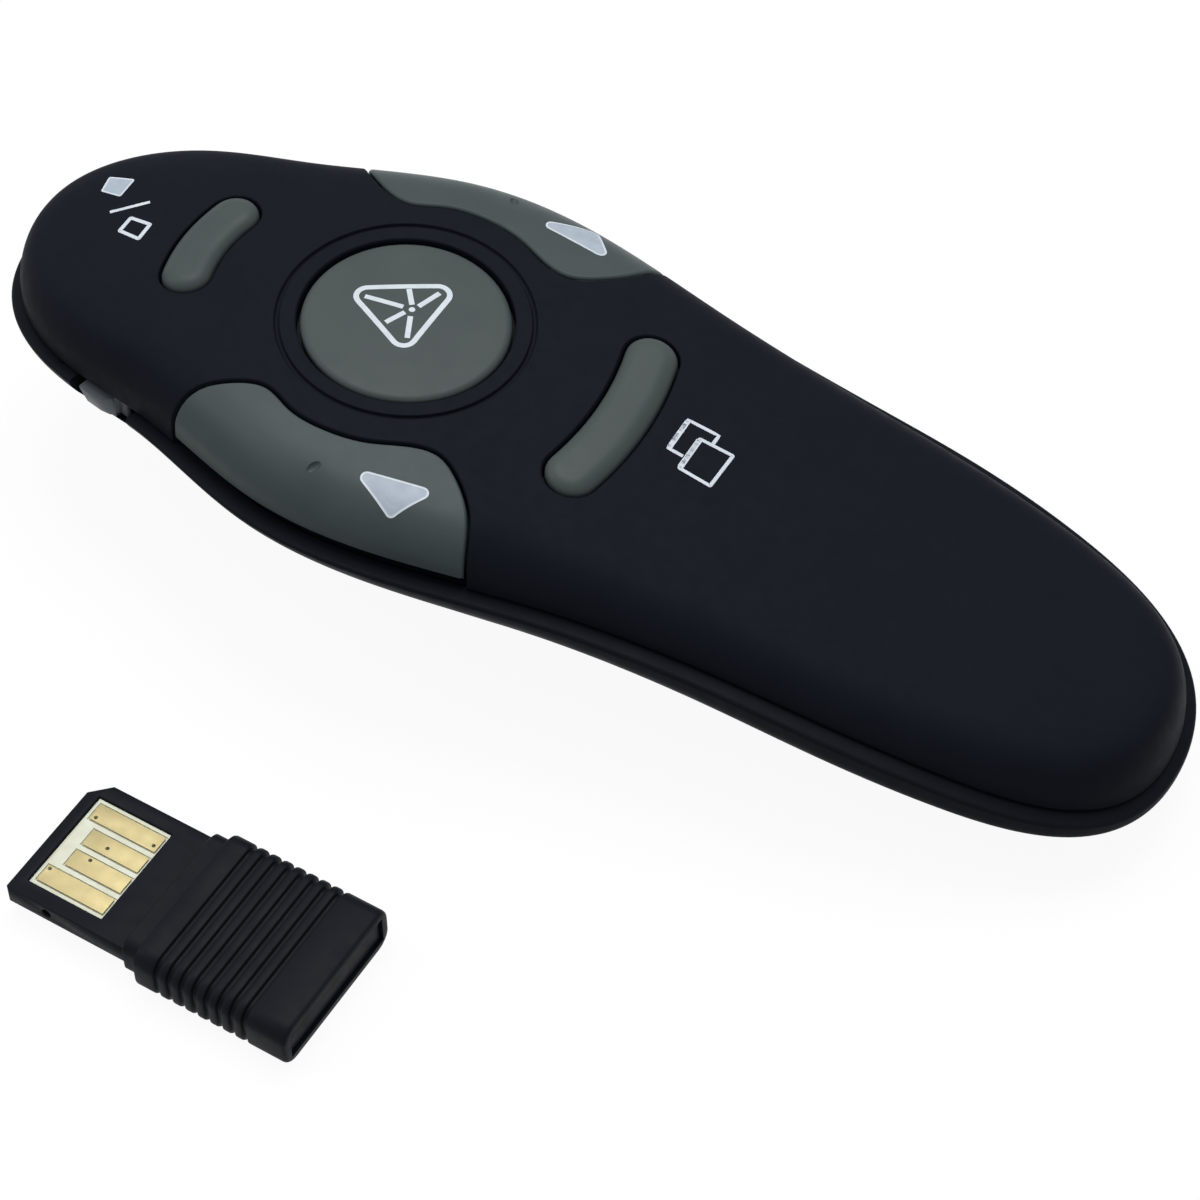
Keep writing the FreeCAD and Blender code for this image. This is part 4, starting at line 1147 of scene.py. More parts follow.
# %% Ring groove
ring_radius = 10.35
ring_half = 0.20
ring_spots, ring_ups = on_crown(circle(ring_radius, 240))
ring_side = [(-0.30, 0.3), (-0.30, 0.0), (-ring_half - 0.04, -0.03), (-ring_half, -0.1), (-ring_half, -0.2)]
ring_floor = [(-0.09, -0.29), (0.09, -0.29)]
ring_profile = ring_side + ring_floor + [(-s, u) for s, u in ring_side[::-1]]
carve(top_shell, sweep("ring_groove", ring_spots, ring_ups, ring_profile, loop=True))
smooth(top_shell)
print("top cover faces after its openings:", len(top_shell.data.polygons))

# %% [markdown]
# The power slot lies on the left flank, just under the seam. A small turned frame on the outline gives
# its place, so the same numbers serve the slot in the lower shell and the notch in the tongue.

# %% Power slot
power_x = -20.9
slot_drop = 0.35
slot_height = 2.5
slot_half = 3.3
slot_top = slot_height + slot_drop
slot_reach = (-3.0, 4.7)
room_half = 4.9
room_reach = (1.7, 4.7)
room_floor = -0.15
notch_reach = (-1.6, 4.6)


def flank_frame(x, margin):
    """Matrix of the power switch on the left flank: X along it, Y inward."""
    points = np.array(outline(margin))
    low, high = 0.0, 1.0
    for _ in range(50):
        mid_way = (low + high) / 2
        if (basis(len(points), [mid_way]) @ points)[0, 0] < x:
            low = mid_way
        else:
            high = mid_way
    here = (basis(len(points), [low]) @ points)[0]
    ahead = (basis(len(points), [low + 1e-4]) @ points)[0]
    turn = math.atan2(-(ahead - here)[1], (ahead - here)[0])
    floor_z = height_at(here[0], seam_heights) - slot_drop - slot_height
    return Matrix.Translation(Vector((here[0], -here[1], floor_z)) * mm) @ Matrix.Rotation(turn, 4, "Z")


def set_down(made, place):
    """Move a piece made about the origin to its own place."""
    made.data.transform(place)
    return made


power_place = flank_frame(power_x, rim_step)
notch_top = slot_top - 2 * gap_half
power_notch = block("power_notch", -room_half, room_half, *notch_reach, below_all, notch_top)
power_slot = block("power_slot", -slot_half, slot_half, *slot_reach, 0.0, slot_top)
power_room = block("power_room", -room_half, room_half, *room_reach, room_floor, slot_top)
carve(top_shell, set_down(power_notch, power_place))
carve(bottom_shell, set_down(power_slot, power_place))
carve(bottom_shell, set_down(power_room, power_place))
print("power slot at", [round(v / mm, 2) for v in power_place.translation])

# %% [markdown]
# The lower shell is open underneath for the battery door, has four deep screw holes and a small round
# mouth in the nose for the laser beam.

# %% Openings in the lower shell
bay_head = -4.0
bay_half = 10.9
door_level = 3.3
door_gap = 0.15
tab_half = 4.15
tab_reach = 1.75
tab_low = 1.7
tab_high = 2.8
tab_over = 0.4
screw_spots = ((-28.2, 5.2), (19.6, 13.1))
screw_head = 1.75
screw_clear = 0.2
screw_sink = 2.0
shank_radius = 1.1
shank_top = 13.4
beam_height = 11.9
before_nose = -60.0
mouth_radius = 1.5
mouth_depth = 3.0
window_radius = 2.0
window_depth = 3.8


def round_post(name, x, y, low, high, radius, count=40):
    """Upright round tool."""
    return prism(name, circle(radius, count, x, y), low, high)


def lying_rod(name, x0, x1, z, radius):
    """Round tool along X at one height."""
    place = Matrix.Translation(Vector((0, 0, z)) * mm) @ Matrix.Rotation(math.pi / 2, 4, "Y")
    return set_down(round_post(name, 0.0, 0.0, x0, x1, radius), place)


door_top = door_level + door_gap
carve(bottom_shell, block("door_room", bay_head, past_tail, -bay_half, bay_half, below_all, door_top))
tab_tail = bay_head + tab_over
tab_room = block("tab_room", bay_head - tab_reach, tab_tail, -tab_half, tab_half, tab_low, tab_high)
carve(bottom_shell, tab_room)
for sx, sy in screw_spots:
    for side in (-1, 1):
        seat, _ = on_flank((sx, side * (sy + screw_head), above_all / 2), (0, 0, -1), low_tree)
        head_top = seat[2] + screw_sink
        head_room = round_post("head_room", sx, side * sy, below_all, head_top, screw_head + screw_clear, 64)
        carve(bottom_shell, head_room)
        carve(bottom_shell, round_post("shank_room", sx, side * sy, below_all, shank_top, shank_radius))
window_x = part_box("laser_window")[0].x / mm
beam_mouth = lying_rod("beam_mouth", before_nose, window_x + mouth_depth, beam_height, mouth_radius)
carve(bottom_shell, beam_mouth)
window_seat = lying_rod("window_seat", window_x, window_x + window_depth, beam_height, window_radius)
carve(bottom_shell, window_seat)
smooth(bottom_shell)
print("lower shell faces after its openings:", len(bottom_shell.data.polygons))

# %% [markdown]
# The door is the missing piece of the underside. It keeps the same skin, so its edges line up, and
# takes its ribs and front tab from the frame. Five grooves at the front give the thumb a grip.

# %% Battery door
lid_wall = 1.2
lid_half = bay_half - door_gap
grip_count = 5
grip_start = 4.0
grip_pitch = 1.6
grip_half = 5.0
grip_profile = ((0.0, -0.3), (0.06, 0.26), (0.2, 0.38), (0.4, 0.38), (0.54, 0.26), (0.6, -0.3))
battery_lid = skin_solid("battery_lid", lower_rows(0.0), above_all)
carve(battery_lid, skin_solid("lid_inside", lower_rows(lid_wall), above_all))
lid_room = block("lid_room", bay_head + door_gap, past_tail, -lid_half, lid_half, below_all, door_level)
carve(battery_lid, lid_room, "INTERSECT")
door_details = frame_copy("battery_door", "door_details")
carve(door_details, skin_solid("door_inside", lower_rows(lid_wall - bite), above_all), "INTERSECT")
carve(battery_lid, door_details, "UNION")
for i in range(grip_count):
    groove_x = bay_head + grip_start + i * grip_pitch
    bar = prism("grip", [(groove_x + x, z) for x, z in grip_profile], -grip_half, grip_half)
    carve(battery_lid, set_down(bar, Matrix.Rotation(math.pi / 2, 4, "X")))
smooth(battery_lid)
print("door faces:", len(battery_lid.data.polygons))

# %% [markdown]
# ## Keys
# The two long page keys continue the skin of the cover over its shoulder and down the flank. Their
# edges are rolled on the wave, on both ends and along the lower edge above the seam.

# %% Page keys
key_lift = 0.8
key_wall = 1.4
key_roll = round_edge(0.34, 6)
page_rim_foot = 0.3
foot_over = 0.5


def with_details(made, node_name):
    """Join the flange and post of a packed key to the shape that stands for its cap."""
    details = frame_copy(node_name, node_name + "_details")
    inside = skin_solid(node_name + "_inside", upper_rows(key_wall - bite))
    return carve(made, carve(details, inside, "INTERSECT"), "UNION")


page_key = skin_solid("page_key", upper_rows(0.0))
carve(page_key, page_prism("page_key_tool", 0.0), "INTERSECT")
carve(page_key, skin_solid("page_key_inside", upper_rows(key_wall)))
carve(page_key, seam_tool("page_key_foot", key_lift), "INTERSECT")
with_details(page_key, "page_right_key")
rim_points, rim_ups = page_loop(0.0, page_rim_foot)
carve(page_key, sweep("page_rim", rim_points, rim_ups, key_roll, loop=False, inward=-1.0))
foot_xs = np.linspace(page_head - foot_over, page_head + page_length + foot_over, 90)
foot = [on_flank((x, half_width / 2, height_at(x, seam_heights) + key_lift), (0, 1, 0)) for x in foot_xs]
foot_points, foot_ups = zip(*foot)
carve(page_key, sweep("page_foot", foot_points, foot_ups, key_roll, loop=False, inward=-1.0))
print("page key without its dimple:", len(page_key.data.polygons), "faces")

# %% [markdown]
# A shallow oblong dent on each page key tells the thumb where it is. The tool is a stretched ball that
# lies on the skin with its long axis across the key.

# %% Dimple
dimple_spot = (1.0, 16.5)
dimple_way = Vector((0.44, -0.90, 0.0))
dimple_halves = (0.72, 0.42, 0.38)
dimple_rise = 0.12


def dimple_tool(place, up):
    """Stretched ball, its middle a little above the skin."""
    dent = new_object("dimple", [], [])
    work = bmesh.new()
    bmesh.ops.create_icosphere(work, subdivisions=4, radius=mm)
    work.to_mesh(dent.data)
    work.free()
    up_way = Vector(up)
    long_way = (dimple_way - up_way * dimple_way.dot(up_way)).normalized()
    turn = Matrix((long_way, up_way.cross(long_way), up_way)).transposed().to_4x4()
    middle_spot = Matrix.Translation(Vector(place + up * dimple_rise) * mm)
    return set_down(dent, middle_spot @ turn @ Matrix.Diagonal((*dimple_halves, 1.0)))


carve(page_key, dimple_tool(*on_skin(*dimple_spot)))
print("page key faces:", len(page_key.data.polygons))

# %% [markdown]
# The round key and the two bent keys are caps: a stack of rings that follows the crown, with the edge
# rolled over. The rings lie close together in the roll, where the light turns quickly.

# %% Caps from rings
cap_depth = 1.6


def stacked_faces(rings, count):
    """Faces of a closed stack of rings with the same number of points."""
    faces = [tuple(range(count)), tuple((rings - 1) * count + k for k in range(count))]
    for r in range(rings - 1):
        for k in range(count):
            n = (k + 1) % count
            faces.append((r * count + k, r * count + n, (r + 1) * count + n, (r + 1) * count + k))
    return faces


def cap(name, ring_at, insets, lift, depth=cap_depth):
    """Closed solid with rings of points on the crown; lift gives the height above it."""
    base = ring_at(0.0)
    rings = [[(x, y, on_skin(x, y)[0][2] - depth) for x, y in base]]
    for inset in insets:
        rings.append([(x, y, on_skin(x, y)[0][2] + lift(inset, x, y)) for x, y in ring_at(inset)])
    return tidy(new_object(name, [p for ring in rings for p in ring], stacked_faces(len(rings), len(base))))


def rolled(inset, across, down):
    """Drop of a rolled edge at one distance from the outline."""
    if inset >= across:
        return 0.0
    return down * (1 - math.sqrt(1 - (1 - inset / across) ** 2))


def roll_insets(across, others, steps=8):
    """Distances from the outline, close together in the roll."""
    turns = np.linspace(0, math.pi / 2, steps + 1)
    return [across * (1 - math.cos(a)) for a in turns] + list(others)


print("rings in a roll:", len(roll_insets(1.0, ())))

# %% [markdown]
# The round key lies just below the skin and swells a little in the middle. The bent keys stand proud
# like small pillows. Flange and post below each cap are taken over from the frame.

# %% Round key and bent keys
round_sunk = 0.12
round_swell = 0.16
round_roll = (0.55, 0.42)
pillow_proud = 0.55
pillow_roll = (1.30, 0.95)


def round_lift(inset, x, y):
    """Height of the round key above the skin: sunk a hair and gently swollen."""
    away = min(math.hypot(x, y) / round_key_radius, 1.0)
    return round_swell * (1 - away ** 2) - round_sunk - rolled(inset, *round_roll)


def pillow_lift(inset, x, y):
    """Height of a bent key above the skin."""
    return pillow_proud - rolled(inset, *pillow_roll)


def bent_ring(sizes):
    """Maker of the rings of one bent key."""
    return lambda inset: slot_points(*sizes, -inset)


round_insets = roll_insets(round_roll[0], (1.2, 2.4, 3.8, 5.2, 6.6, 7.6, 8.2))
round_key = cap("round_key", lambda inset: circle(round_key_radius - inset), round_insets, round_lift)
with_details(round_key, "laser_key")
pillow_insets = roll_insets(pillow_roll[0], (1.55, 1.8, 1.98))
bent_keys = {}
for slot_name, sizes in slots.items():
    made = cap(slot_name + "_cap", bent_ring(sizes), pillow_insets, pillow_lift)
    bent_keys[slot_name] = with_details(made, slot_name + "_key")
print("round key faces:", len(round_key.data.polygons), "bent keys:", list(bent_keys))

# %% [markdown]
# ## Printed signs
# The signs are thin layers of paint that follow the crown: a full square, a stroke and an open square
# on the nose, two open squares behind the rear key, a triangle with five rays on the round key and an
# arrowhead on each page key. A real layer this thin would be a fiftieth of a millimetre.

# %% Outlines of signs


def rounded(points, radius, steps=6):
    """Flat polygon with arcs at its corners."""
    done = []
    count = len(points)
    for i in range(count):
        here, last, ahead = (np.array(points[j % count], float) for j in (i, i - 1, i + 1))
        to_last = (last - here) / np.linalg.norm(last - here)
        to_ahead = (ahead - here) / np.linalg.norm(ahead - here)
        half = math.acos(float(np.clip(to_last @ to_ahead, -1, 1))) / 2
        middle_way = (to_last + to_ahead) / np.linalg.norm(to_last + to_ahead)
        centre = here + middle_way * radius / math.sin(half)
        first = here + to_last * radius / math.tan(half) - centre
        final = here + to_ahead * radius / math.tan(half) - centre
        turn = math.atan2(first[0] * final[1] - first[1] * final[0], first @ final)
        for a in np.linspace(0, turn, steps + 1):
            done.append(tuple(centre + np.array([first[0] * math.cos(a) - first[1] * math.sin(a),
                                                 first[0] * math.sin(a) + first[1] * math.cos(a)])))
    return done


def closer(points, loop, step=0.35):
    """The same path with points at most one step apart."""
    path = [np.array(p, float) for p in points]
    pairs = list(zip(path, path[1:] + path[:1])) if loop else list(zip(path[:-1], path[1:]))
    done = []
    for here, there in pairs:
        parts = max(1, int(np.linalg.norm(there - here) / step))
        done += [tuple(here + (there - here) * k / parts) for k in range(parts)]
    return done if loop else done + [tuple(path[-1])]


print("points of a rounded square:", len(rounded([(0, 0), (1, 0), (1, 1), (0, 1)], 0.1)))

# %% [markdown]
# A line of paint is a flat profile swept along its path, and an area is a very thin cap. Both reach a
# little into the plastic, so that no gap shows below them.

# %% Paint
paint = 0.02
paint_foot = 0.05
stroke_width = 0.30
off_the_roll = 9.0


def no_lift(inset, x, y):
    """Signs that lie straight on the skin."""
    return 0.0


def stroke(name, points, width=stroke_width, loop=False, lift=no_lift, above=paint):
    """Line of paint along a path."""
    path = closer(points, loop)
    spots, ups = on_crown(path)
    spots = [s + np.array([0, 0, lift(off_the_roll, x, y)]) for s, (x, y) in zip(spots, path)]
    half = width / 2
    profile = [(-half, -paint_foot), (half, -paint_foot), (half, above), (-half, above)]
    return sweep(name, spots, ups, profile, loop)


def filled(name, points, lift=no_lift):
    """Area of paint inside a flat outline."""
    middle_spot = np.mean(np.array(points), axis=0)
    outline_points = closer(points, True)

    def shrunk(share):
        return [tuple(middle_spot + (np.array(p) - middle_spot) * (1 - share)) for p in outline_points]

    def raised(share, x, y):
        return paint + lift(off_the_roll, x, y)

    return cap(name, shrunk, (0.0, 0.3, 0.6, 0.9), raised, paint_foot)


def joined(name, pieces):
    """Several strokes as one sign."""
    work = bmesh.new()
    for piece in pieces:
        work.from_mesh(piece.data)
        bpy.data.objects.remove(piece)
    made = new_object(name, [], [])
    work.to_mesh(made.data)
    work.free()
    return made


print("paint stands proud by", paint)

# %% [markdown]
# Each sign is listed by the corners of its outline as seen from above, nose to the left. The printed
# strokes aren't all equally wide, so the uneven ones carry their own width.

# %% Signs of the nose and the tail
square_corner = 0.12
frame_corner = 0.08
nose_edge_width = 0.16
nose_stroke_width = 0.32
nose_frame_width = 0.34
front_edge_width = 0.48
back_edge_width = 0.44
nose_square = rounded([(-30.52, 3.88), (-28.37, 4.28), (-28.33, 2.05), (-30.16, 2.10)], square_corner)
nose_frame = rounded([(-25.95, 0.0), (-24.02, -0.08), (-24.0, -1.92), (-26.0, -1.66)], frame_corner)
nose_fill = filled("nose_square", nose_square)
nose_sign = joined("nose_sign", [
    stroke("nose_edge", nose_square, nose_edge_width, loop=True),
    stroke("nose_stroke", [(-27.98, -0.03), (-25.53, 2.31)], nose_stroke_width),
    stroke("nose_frame", nose_frame, nose_frame_width, loop=True),
])
front_square = rounded([(25.48, 1.70), (28.40, 1.70), (28.19, -1.97), (25.38, -1.80)], frame_corner)
tail_sign = joined("tail_sign", [
    stroke("front_square", front_square, loop=True),
    stroke("front_edge", [(25.50, 1.55), (25.42, -1.65)], front_edge_width),
    stroke("back_square", [(26.56, 1.85), (26.60, 2.84), (23.85, 2.86), (23.78, -0.54), (25.12, -0.60)]),
    stroke("back_edge", [(23.90, 2.72), (23.84, -0.42)], back_edge_width),
])
print("signs on the cover:", nose_fill.name, nose_sign.name, tail_sign.name)

# %% [markdown]
# The sign of the round key is a rounded triangle with five rays and a dot. A page key's arrowhead is a
# filled area with a brighter edge that stands a little higher.

# %% Signs of the keys
triangle_corner = 0.95
triangle_width = 0.46
ray_width = 0.44
dot_radius = 0.26
arrow_corner = 0.45
arrow_edge_width = 0.17
arrow_edge_paint = 0.03
triangle = rounded([(-5.73, 0.50), (2.03, 5.20), (1.72, -3.40)], triangle_corner, 10)
rays = [((-0.75, 0.90), (-4.00, 0.42)), ((-0.25, 1.45), (-1.30, 2.85)), ((0.30, 1.55), (1.05, 3.70)),
        ((-0.35, 0.45), (-1.15, -1.25)), ((0.25, 0.30), (1.15, -1.85))]
round_strokes = [stroke("triangle", triangle, triangle_width, loop=True, lift=round_lift)]
round_strokes += [stroke("ray", ray, ray_width, lift=round_lift) for ray in rays]
round_strokes.append(filled("star_middle", circle(dot_radius, 24, 0.01, 0.99), round_lift))
round_sign = joined("round_sign", round_strokes)
arrow_corners = {
    "left": [(3.75, -15.35), (10.60, -14.05), (8.25, -17.45)],
    "right": [(3.45, 15.10), (10.85, 14.45), (8.25, 17.45)],
}
arrow_signs = {}
for side, corners in arrow_corners.items():
    line = rounded(corners, arrow_corner, 8)
    area = filled(side + "_arrow", line)
    edge = stroke(side + "_arrow_edge", line, arrow_edge_width, loop=True, above=arrow_edge_paint)
    arrow_signs[side] = (area, edge)
print("signs on the keys:", round_sign.name, [piece.name for pair in arrow_signs.values() for piece in pair])

# %% [markdown]
# ## Receiver
# The sleeve of the receiver is one moulded body with eight grip grooves, a narrower collar at the plug
# and a recessed end. It is lofted along its own axis and then set down beside the remote.

# %% Rounded sections
sleeve_half = 7.0
sleeve_top = 4.4
sleeve_round = 1.35


def section(half, low, high, radius, steps=7):
    """Rounded rectangle across the receiver."""
    points = []
    for side_y, side_z, start in ((1, 1, 0), (-1, 1, 90), (-1, -1, 180), (1, -1, 270)):
        centre_y = side_y * (half - radius)
        centre_z = high - radius if side_z > 0 else low + radius
        for a in np.radians(np.linspace(start, start + 90, steps)):
            points.append((centre_y + radius * math.cos(a), centre_z + radius * math.sin(a)))
    return points


def loft(name, stations, radius):
    """Solid through rounded sections; a station is (x, side inset, low inset, top inset)."""
    points = []
    for x, side, low, top in stations:
        ring = section(sleeve_half - side, low, sleeve_top - top, radius - max(side, top) / 3)
        points += [(x, y, z) for y, z in ring]
    return tidy(new_object(name, points, stacked_faces(len(stations), len(ring))))


print("points of a section:", len(section(sleeve_half, 0.0, sleeve_top, sleeve_round)))

# %% [markdown]
# The sections step in and out for the collar and the grooves and shrink a little at the end. Then the
# room for plug and board and the wider mouth are cut out.

# %% Receiver sleeve
receiver_turn = Matrix.Rotation(math.radians(-4.0), 4, "Z")
receiver_place = Matrix.Translation(Vector((3.9, -45.6, 0.0)) * mm) @ receiver_turn
groove_count = 8
groove_start = 3.35
groove_pitch = 1.15
groove_profile = ((-0.14, 0.0), (-0.05, 0.03), (0.0, 0.1), (0.06, 0.27), (0.12, 0.3),
                  (0.33, 0.3), (0.39, 0.27), (0.45, 0.1), (0.5, 0.03), (0.59, 0.0))
room_half_width = 5.45
mouth_half_width = 6.2
mouth_head = 13.8
mouth_past = 15.8
plug_ahead = -0.4
plug_tail = 5.05
plug_low = 1.15
plug_high = 3.15
board_head = 5.0
board_tail = 14.8
board_floor = 0.8
board_roof = 3.6
stations = [(0.0, 0.72, 0.42, 0.42), (0.12, 0.6, 0.3, 0.3), (1.4, 0.6, 0.3, 0.3), (1.42, 0.2, 0.12, 0.12),
            (1.5, 0.06, 0.04, 0.04), (1.65, 0.0, 0.0, 0.0)]
for i in range(groove_count):
    groove_x = groove_start + i * groove_pitch
    stations += [(groove_x + step, inset, 0.0, inset) for step, inset in groove_profile]
end_roll = ((15.0, 0.0), (15.2, 0.03), (15.34, 0.12), (15.4, 0.25))
stations += [(x, inset, inset, inset) for x, inset in end_roll]
sleeve = loft("sleeve", stations, sleeve_round)
rooms = (
    ("plug_room", plug_ahead, plug_tail, room_half_width, plug_low, plug_high),
    ("board_room", board_head, board_tail, room_half_width, board_floor, board_roof),
    ("mouth", mouth_head, mouth_past, mouth_half_width, board_floor, board_roof),
)
for name, head, tail, half, low, high in rooms:
    carve(sleeve, block(name, head, tail, -half, half, low, high))
set_down(sleeve, receiver_place)
print("sleeve faces:", len(sleeve.data.polygons))

# %% [markdown]
# The pads of the plug are gilt copper on a pale board. Each stands in a hair-thin dark groove where the
# lacquer ends, and five plated holes go down through pads and board.

# %% Grooves and plated holes of the board
pad_pitch = 2.25
pad_half = 0.8
pad_tail = -3.4
long_pad_head = -9.7
short_pad_head = -8.7
lacquer_gap = 0.13
lacquer_depth = 0.12
over_board = 1.0
pad_rows = [(-1.5 * pad_pitch, long_pad_head), (-0.5 * pad_pitch, short_pad_head),
            (0.5 * pad_pitch, short_pad_head), (1.5 * pad_pitch, long_pad_head)]
via_spots = [(-9.24, 2.90), (-3.80, 3.06), (-6.71, 0.98), (-7.17, -0.62), (-9.40, -2.85)]
via_radius = 0.17
via_low = 2.0
via_high = 6.0


def plated_holes():
    """Tools for the plated holes, set down at the receiver's place."""
    return [set_down(round_post("via", x, y, via_low, via_high, via_radius, 16), receiver_place)
            for x, y in via_spots]


def pad_grooves(board_top):
    """Tools for the thin grooves in the board round every pad."""
    tools = []
    for centre, head in pad_rows:
        low_y = centre - pad_half - lacquer_gap
        high_y = centre + pad_half + lacquer_gap
        tool = block("pad_groove", head - lacquer_gap, pad_tail + lacquer_gap, low_y, high_y,
                     board_top - lacquer_depth, board_top + over_board)
        tools.append(set_down(tool, receiver_place))
    return tools


print("pads:", len(pad_rows), "plated holes:", len(via_spots))

# %% [markdown]
# ## Softened frame pieces
# Real edges are never knife-sharp. Every other piece is taken from the frame, its flat faces are merged
# and its edges get a small bevel that catches a line of light. The numbers are millimetres.

# %% Bevels
bevel_groups = (
    (0.10, ("power_switch", *(key + "_switch" for key in pressed))),
    (0.15, tuple(key + "_plunger" for key in pressed)),
    (0.05, ("main_board",)),
    (0.08, ("radio_chip",)),
    (0.06, ("receiver_chip",)),
    (0.40, ("crystal",)),
    (0.10, ("receiver_crystal",)),
    (0.07, ("chip_parts",)),
    (0.08, ("case_screws",)),
    (0.15, ("board_screws", "left_cell", "right_cell")),
    (0.06, ("plus_contact", "minus_contact", "bridge_contact")),
    (0.04, ("minus_spring", "bridge_spring")),
    (0.10, ("laser_barrel",)),
    (0.04, ("laser_lens",)),
    (0.06, ("laser_window", "laser_diode")),
    (0.08, ("laser_leads",)),
    (0.12, ("receiver_tray",)),
    (0.03, ("receiver_board",)),
    (0.02, ("receiver_pads",)),
)
flat_angle = math.radians(1.0)
bevel_segments = 3
bevel_angle = 40
bevel_crease = math.radians(38)


def soften(made, width, segments, angle):
    """Bevel every edge that turns more than an angle in degrees."""
    step = made.modifiers.new("soft", "BEVEL")
    step.width = width * mm
    step.segments = segments
    step.limit_method = "ANGLE"
    step.angle_limit = math.radians(angle)
    return baked(made)


def bevelled(made, width):
    """Flat faces merged, edges bevelled, smooth shading."""
    work = bmesh.new()
    work.from_mesh(made.data)
    bmesh.ops.dissolve_limit(work, angle_limit=flat_angle, verts=work.verts, edges=work.edges)
    work.to_mesh(made.data)
    work.free()
    return smooth(soften(made, width, bevel_segments, bevel_angle), bevel_crease)


soft_pieces = {name: bevelled(frame_copy(name, name + "_soft"), width)
               for width, names in bevel_groups for name in names}
print("softened:", len(soft_pieces))

# %% [markdown]
# The knob of the power switch is a plain block for the fingertip. Its outside leans with the flank and
# falls away towards the tail. What it hides inside the case is taken over from the frame.

# %% Power knob
knob_root = 1.6
knob_face = 0.32
knob_plan = [(-2.6, knob_root), (-2.6, 0.50), (-2.45, knob_face), (-0.8, knob_face), (0.0, 0.62),
             (0.6, 1.15), (0.6, knob_root)]
knob_low = 0.15
knob_high = 2.35
knob_lean = 0.28
knob_bevel = 0.16
knob_cut = 1.3
outer_half = 9.0
outer_low = -1.0
outer_high = 4.0


def knob_grip():
    """Finger block of the power switch, set down in its slot."""
    grip = prism("knob_grip", knob_plan, knob_low, knob_high)
    for vertex in grip.data.vertices:
        out_share = (knob_root * mm - vertex.co.y) / ((knob_root - knob_face) * mm)
        vertex.co.y += (knob_high * mm - vertex.co.z) * knob_lean * out_share
    return set_down(soften(grip, knob_bevel, 4, 25), power_place)


knob = frame_copy("power_knob", "power_knob_soft")
outer_room = block("outer_room", -outer_half, outer_half, slot_reach[0], knob_cut, outer_low, outer_high)
carve(knob, set_down(outer_room, power_place))
soft_pieces["power_knob"] = smooth(carve(knob, knob_grip(), "UNION"))
print("power knob faces:", len(knob.data.polygons))

# %% [markdown]
# ## Every piece in its place
# Each piece rides on the body of the frame piece it stands for, so that keys press, the door slides and
# the receiver lifts with everything they carry.

# %% Places and finishes
body_of = {n: body for body, names in frame["record"]["behaviour"]["bodies"].items() for n in names}


def dress(made, node_name, finish):
    """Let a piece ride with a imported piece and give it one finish."""
    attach(made, body_of[node_name])
    made.data.materials.clear()
    made.data.materials.append(finish)
    for face in made.data.polygons:
        face.material_index = 0


standing_for = {
    "top_cover": top_shell, "bottom_cover": bottom_shell, "battery_door": battery_lid, "laser_key": round_key,
    "blank_key": bent_keys["blank"], "window_key": bent_keys["window"], "page_right_key": page_key,
    "receiver_sleeve": sleeve,
}
for made in standing_for.values():
    smooth(made)
print("pieces built from skins and rings:", len(standing_for))

# %% [markdown]
# Cutting a hole in a curved skin leaves long thin triangles beside it, and they would catch the light as
# dark specks. So every corner that still lies on the uncut skin takes the normal of that skin, and the
# light runs as evenly as over a polished mould.

# %% Normals of the uncut skin
skin_reach = 0.012 * mm
same_side = 0.8


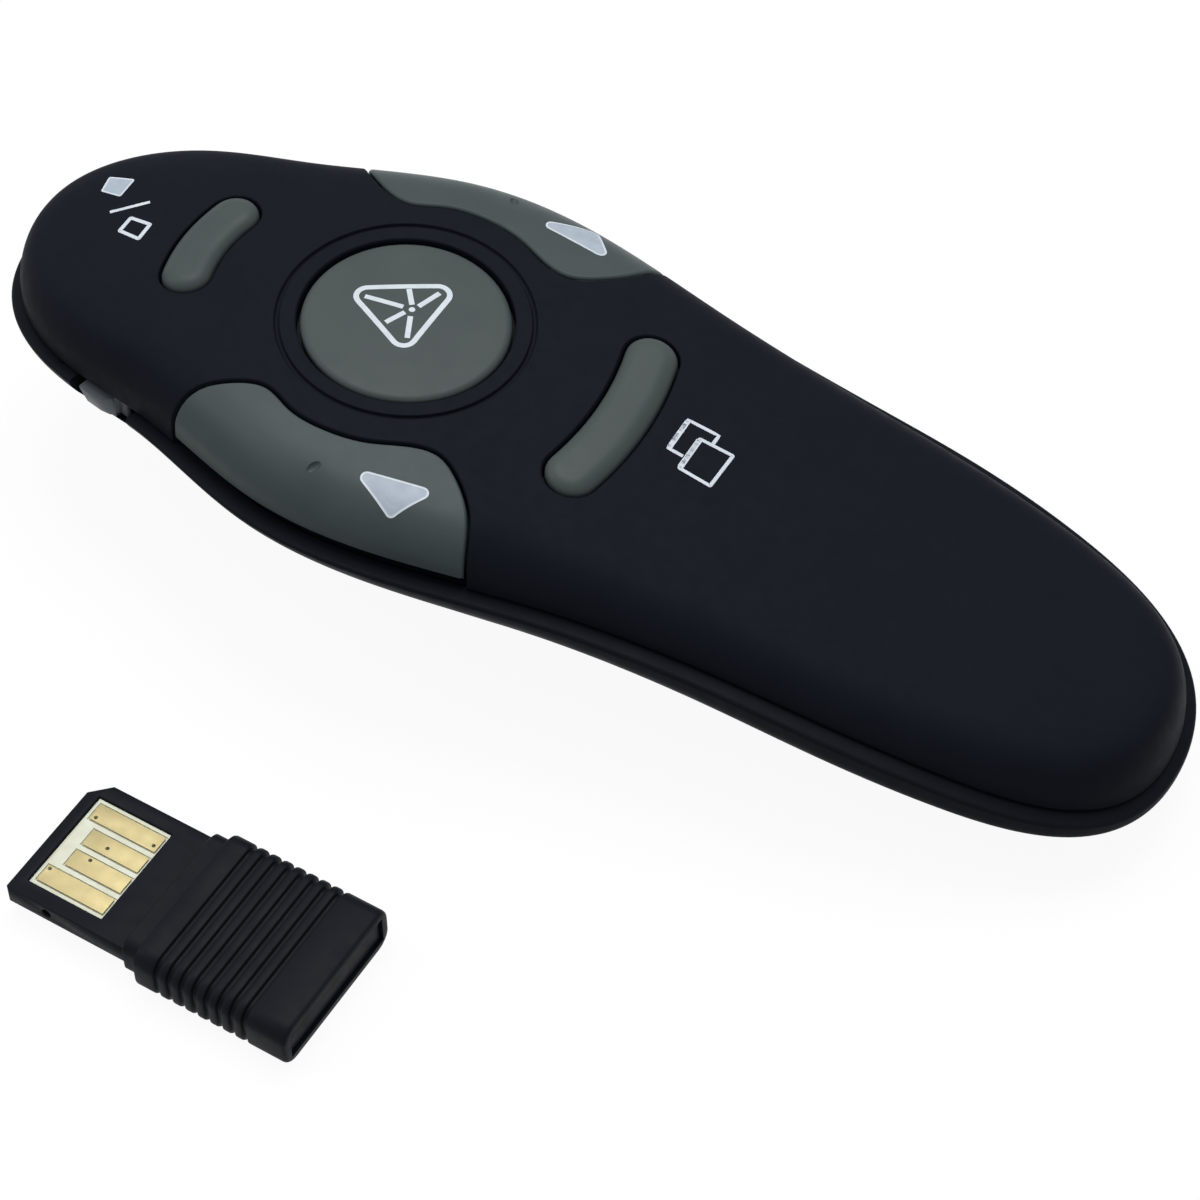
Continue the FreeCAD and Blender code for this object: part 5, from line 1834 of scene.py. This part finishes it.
def follow_skin(made, skin, tree):
    """Give every corner that lies on an uncut skin the normal of that skin."""
    skin_normals = [v.normal.copy() for v in skin.data.vertices]
    found = []
    for vertex in made.data.vertices:
        spot, _, index, away = tree.find_nearest(vertex.co)
        if away > skin_reach:
            found.append(None)
            continue
        face = skin.data.polygons[index]
        weights = poly_3d_calc([skin.data.vertices[v].co for v in face.vertices], spot)
        total = Vector((0, 0, 0))
        for weight, v in zip(weights, face.vertices):
            total += weight * skin_normals[v]
        found.append(total.normalized())
    normals = [(0.0, 0.0, 0.0)] * len(made.data.loops)
    for face in made.data.polygons:
        for loop in face.loop_indices:
            normal = found[made.data.loops[loop].vertex_index]
            if normal is not None and normal.dot(face.normal) > same_side:
                normals[loop] = normal[:]
    made.data.normals_split_custom_set(normals)
    print(made.name, "corners on the skin:", sum(1 for n in normals if n[2] != 0.0))
    return made


for made in (top_shell, page_key):
    follow_skin(made, top_skin, top_tree)
for made in (bottom_shell, battery_lid):
    follow_skin(made, low_skin, low_tree)
page_key_left = smooth(mirror_copy(page_key, "page_key_left"))
standing_for["page_left_key"] = follow_skin(page_key_left, top_skin, top_tree)

# %% [markdown]
# The receiver's mouth is shut by a softened block, and its board gets the grooves round the pads and the
# plated holes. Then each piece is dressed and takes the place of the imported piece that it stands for.

# %% Receiver ends and the last dressing
cap_gap = 0.05
cap_face = 15.12
cap_bevel = 0.12
cap_half = mouth_half_width - 2 * cap_gap
end_cap = block("end_cap", mouth_head + cap_gap, cap_face, -cap_half, cap_half,
                board_floor + cap_gap, board_roof - cap_gap)
soft_pieces["receiver_end_cap"] = bevelled(set_down(end_cap, receiver_place), cap_bevel)
board_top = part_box("receiver_board")[1].z / mm
for tool in pad_grooves(board_top) + plated_holes():
    carve(soft_pieces["receiver_board"], tool)
for tool in plated_holes():
    carve(soft_pieces["receiver_pads"], tool)
standing_for.update(soft_pieces)
for node_name, made in standing_for.items():
    dress(made, node_name, finish_of[node_name])
    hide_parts(node_name)
print("pieces in place of packed ones:", len(standing_for))

# %% [markdown]
# The signs ride on the pieces that they are printed on. The two uncut skins have served as guides and are
# removed.

# %% Paint on its pieces
dress(nose_fill, "top_cover", fill_paint)
dress(nose_sign, "top_cover", legend_paint)
dress(tail_sign, "top_cover", legend_paint)
dress(round_sign, "laser_key", legend_paint)
for side, (area, edge) in arrow_signs.items():
    dress(area, "page_" + side + "_key", fill_paint)
    dress(edge, "page_" + side + "_key", legend_paint)
for helper in (top_skin, low_skin):
    bpy.data.objects.remove(helper)
print("painted signs:", 4 + 2 * len(arrow_signs))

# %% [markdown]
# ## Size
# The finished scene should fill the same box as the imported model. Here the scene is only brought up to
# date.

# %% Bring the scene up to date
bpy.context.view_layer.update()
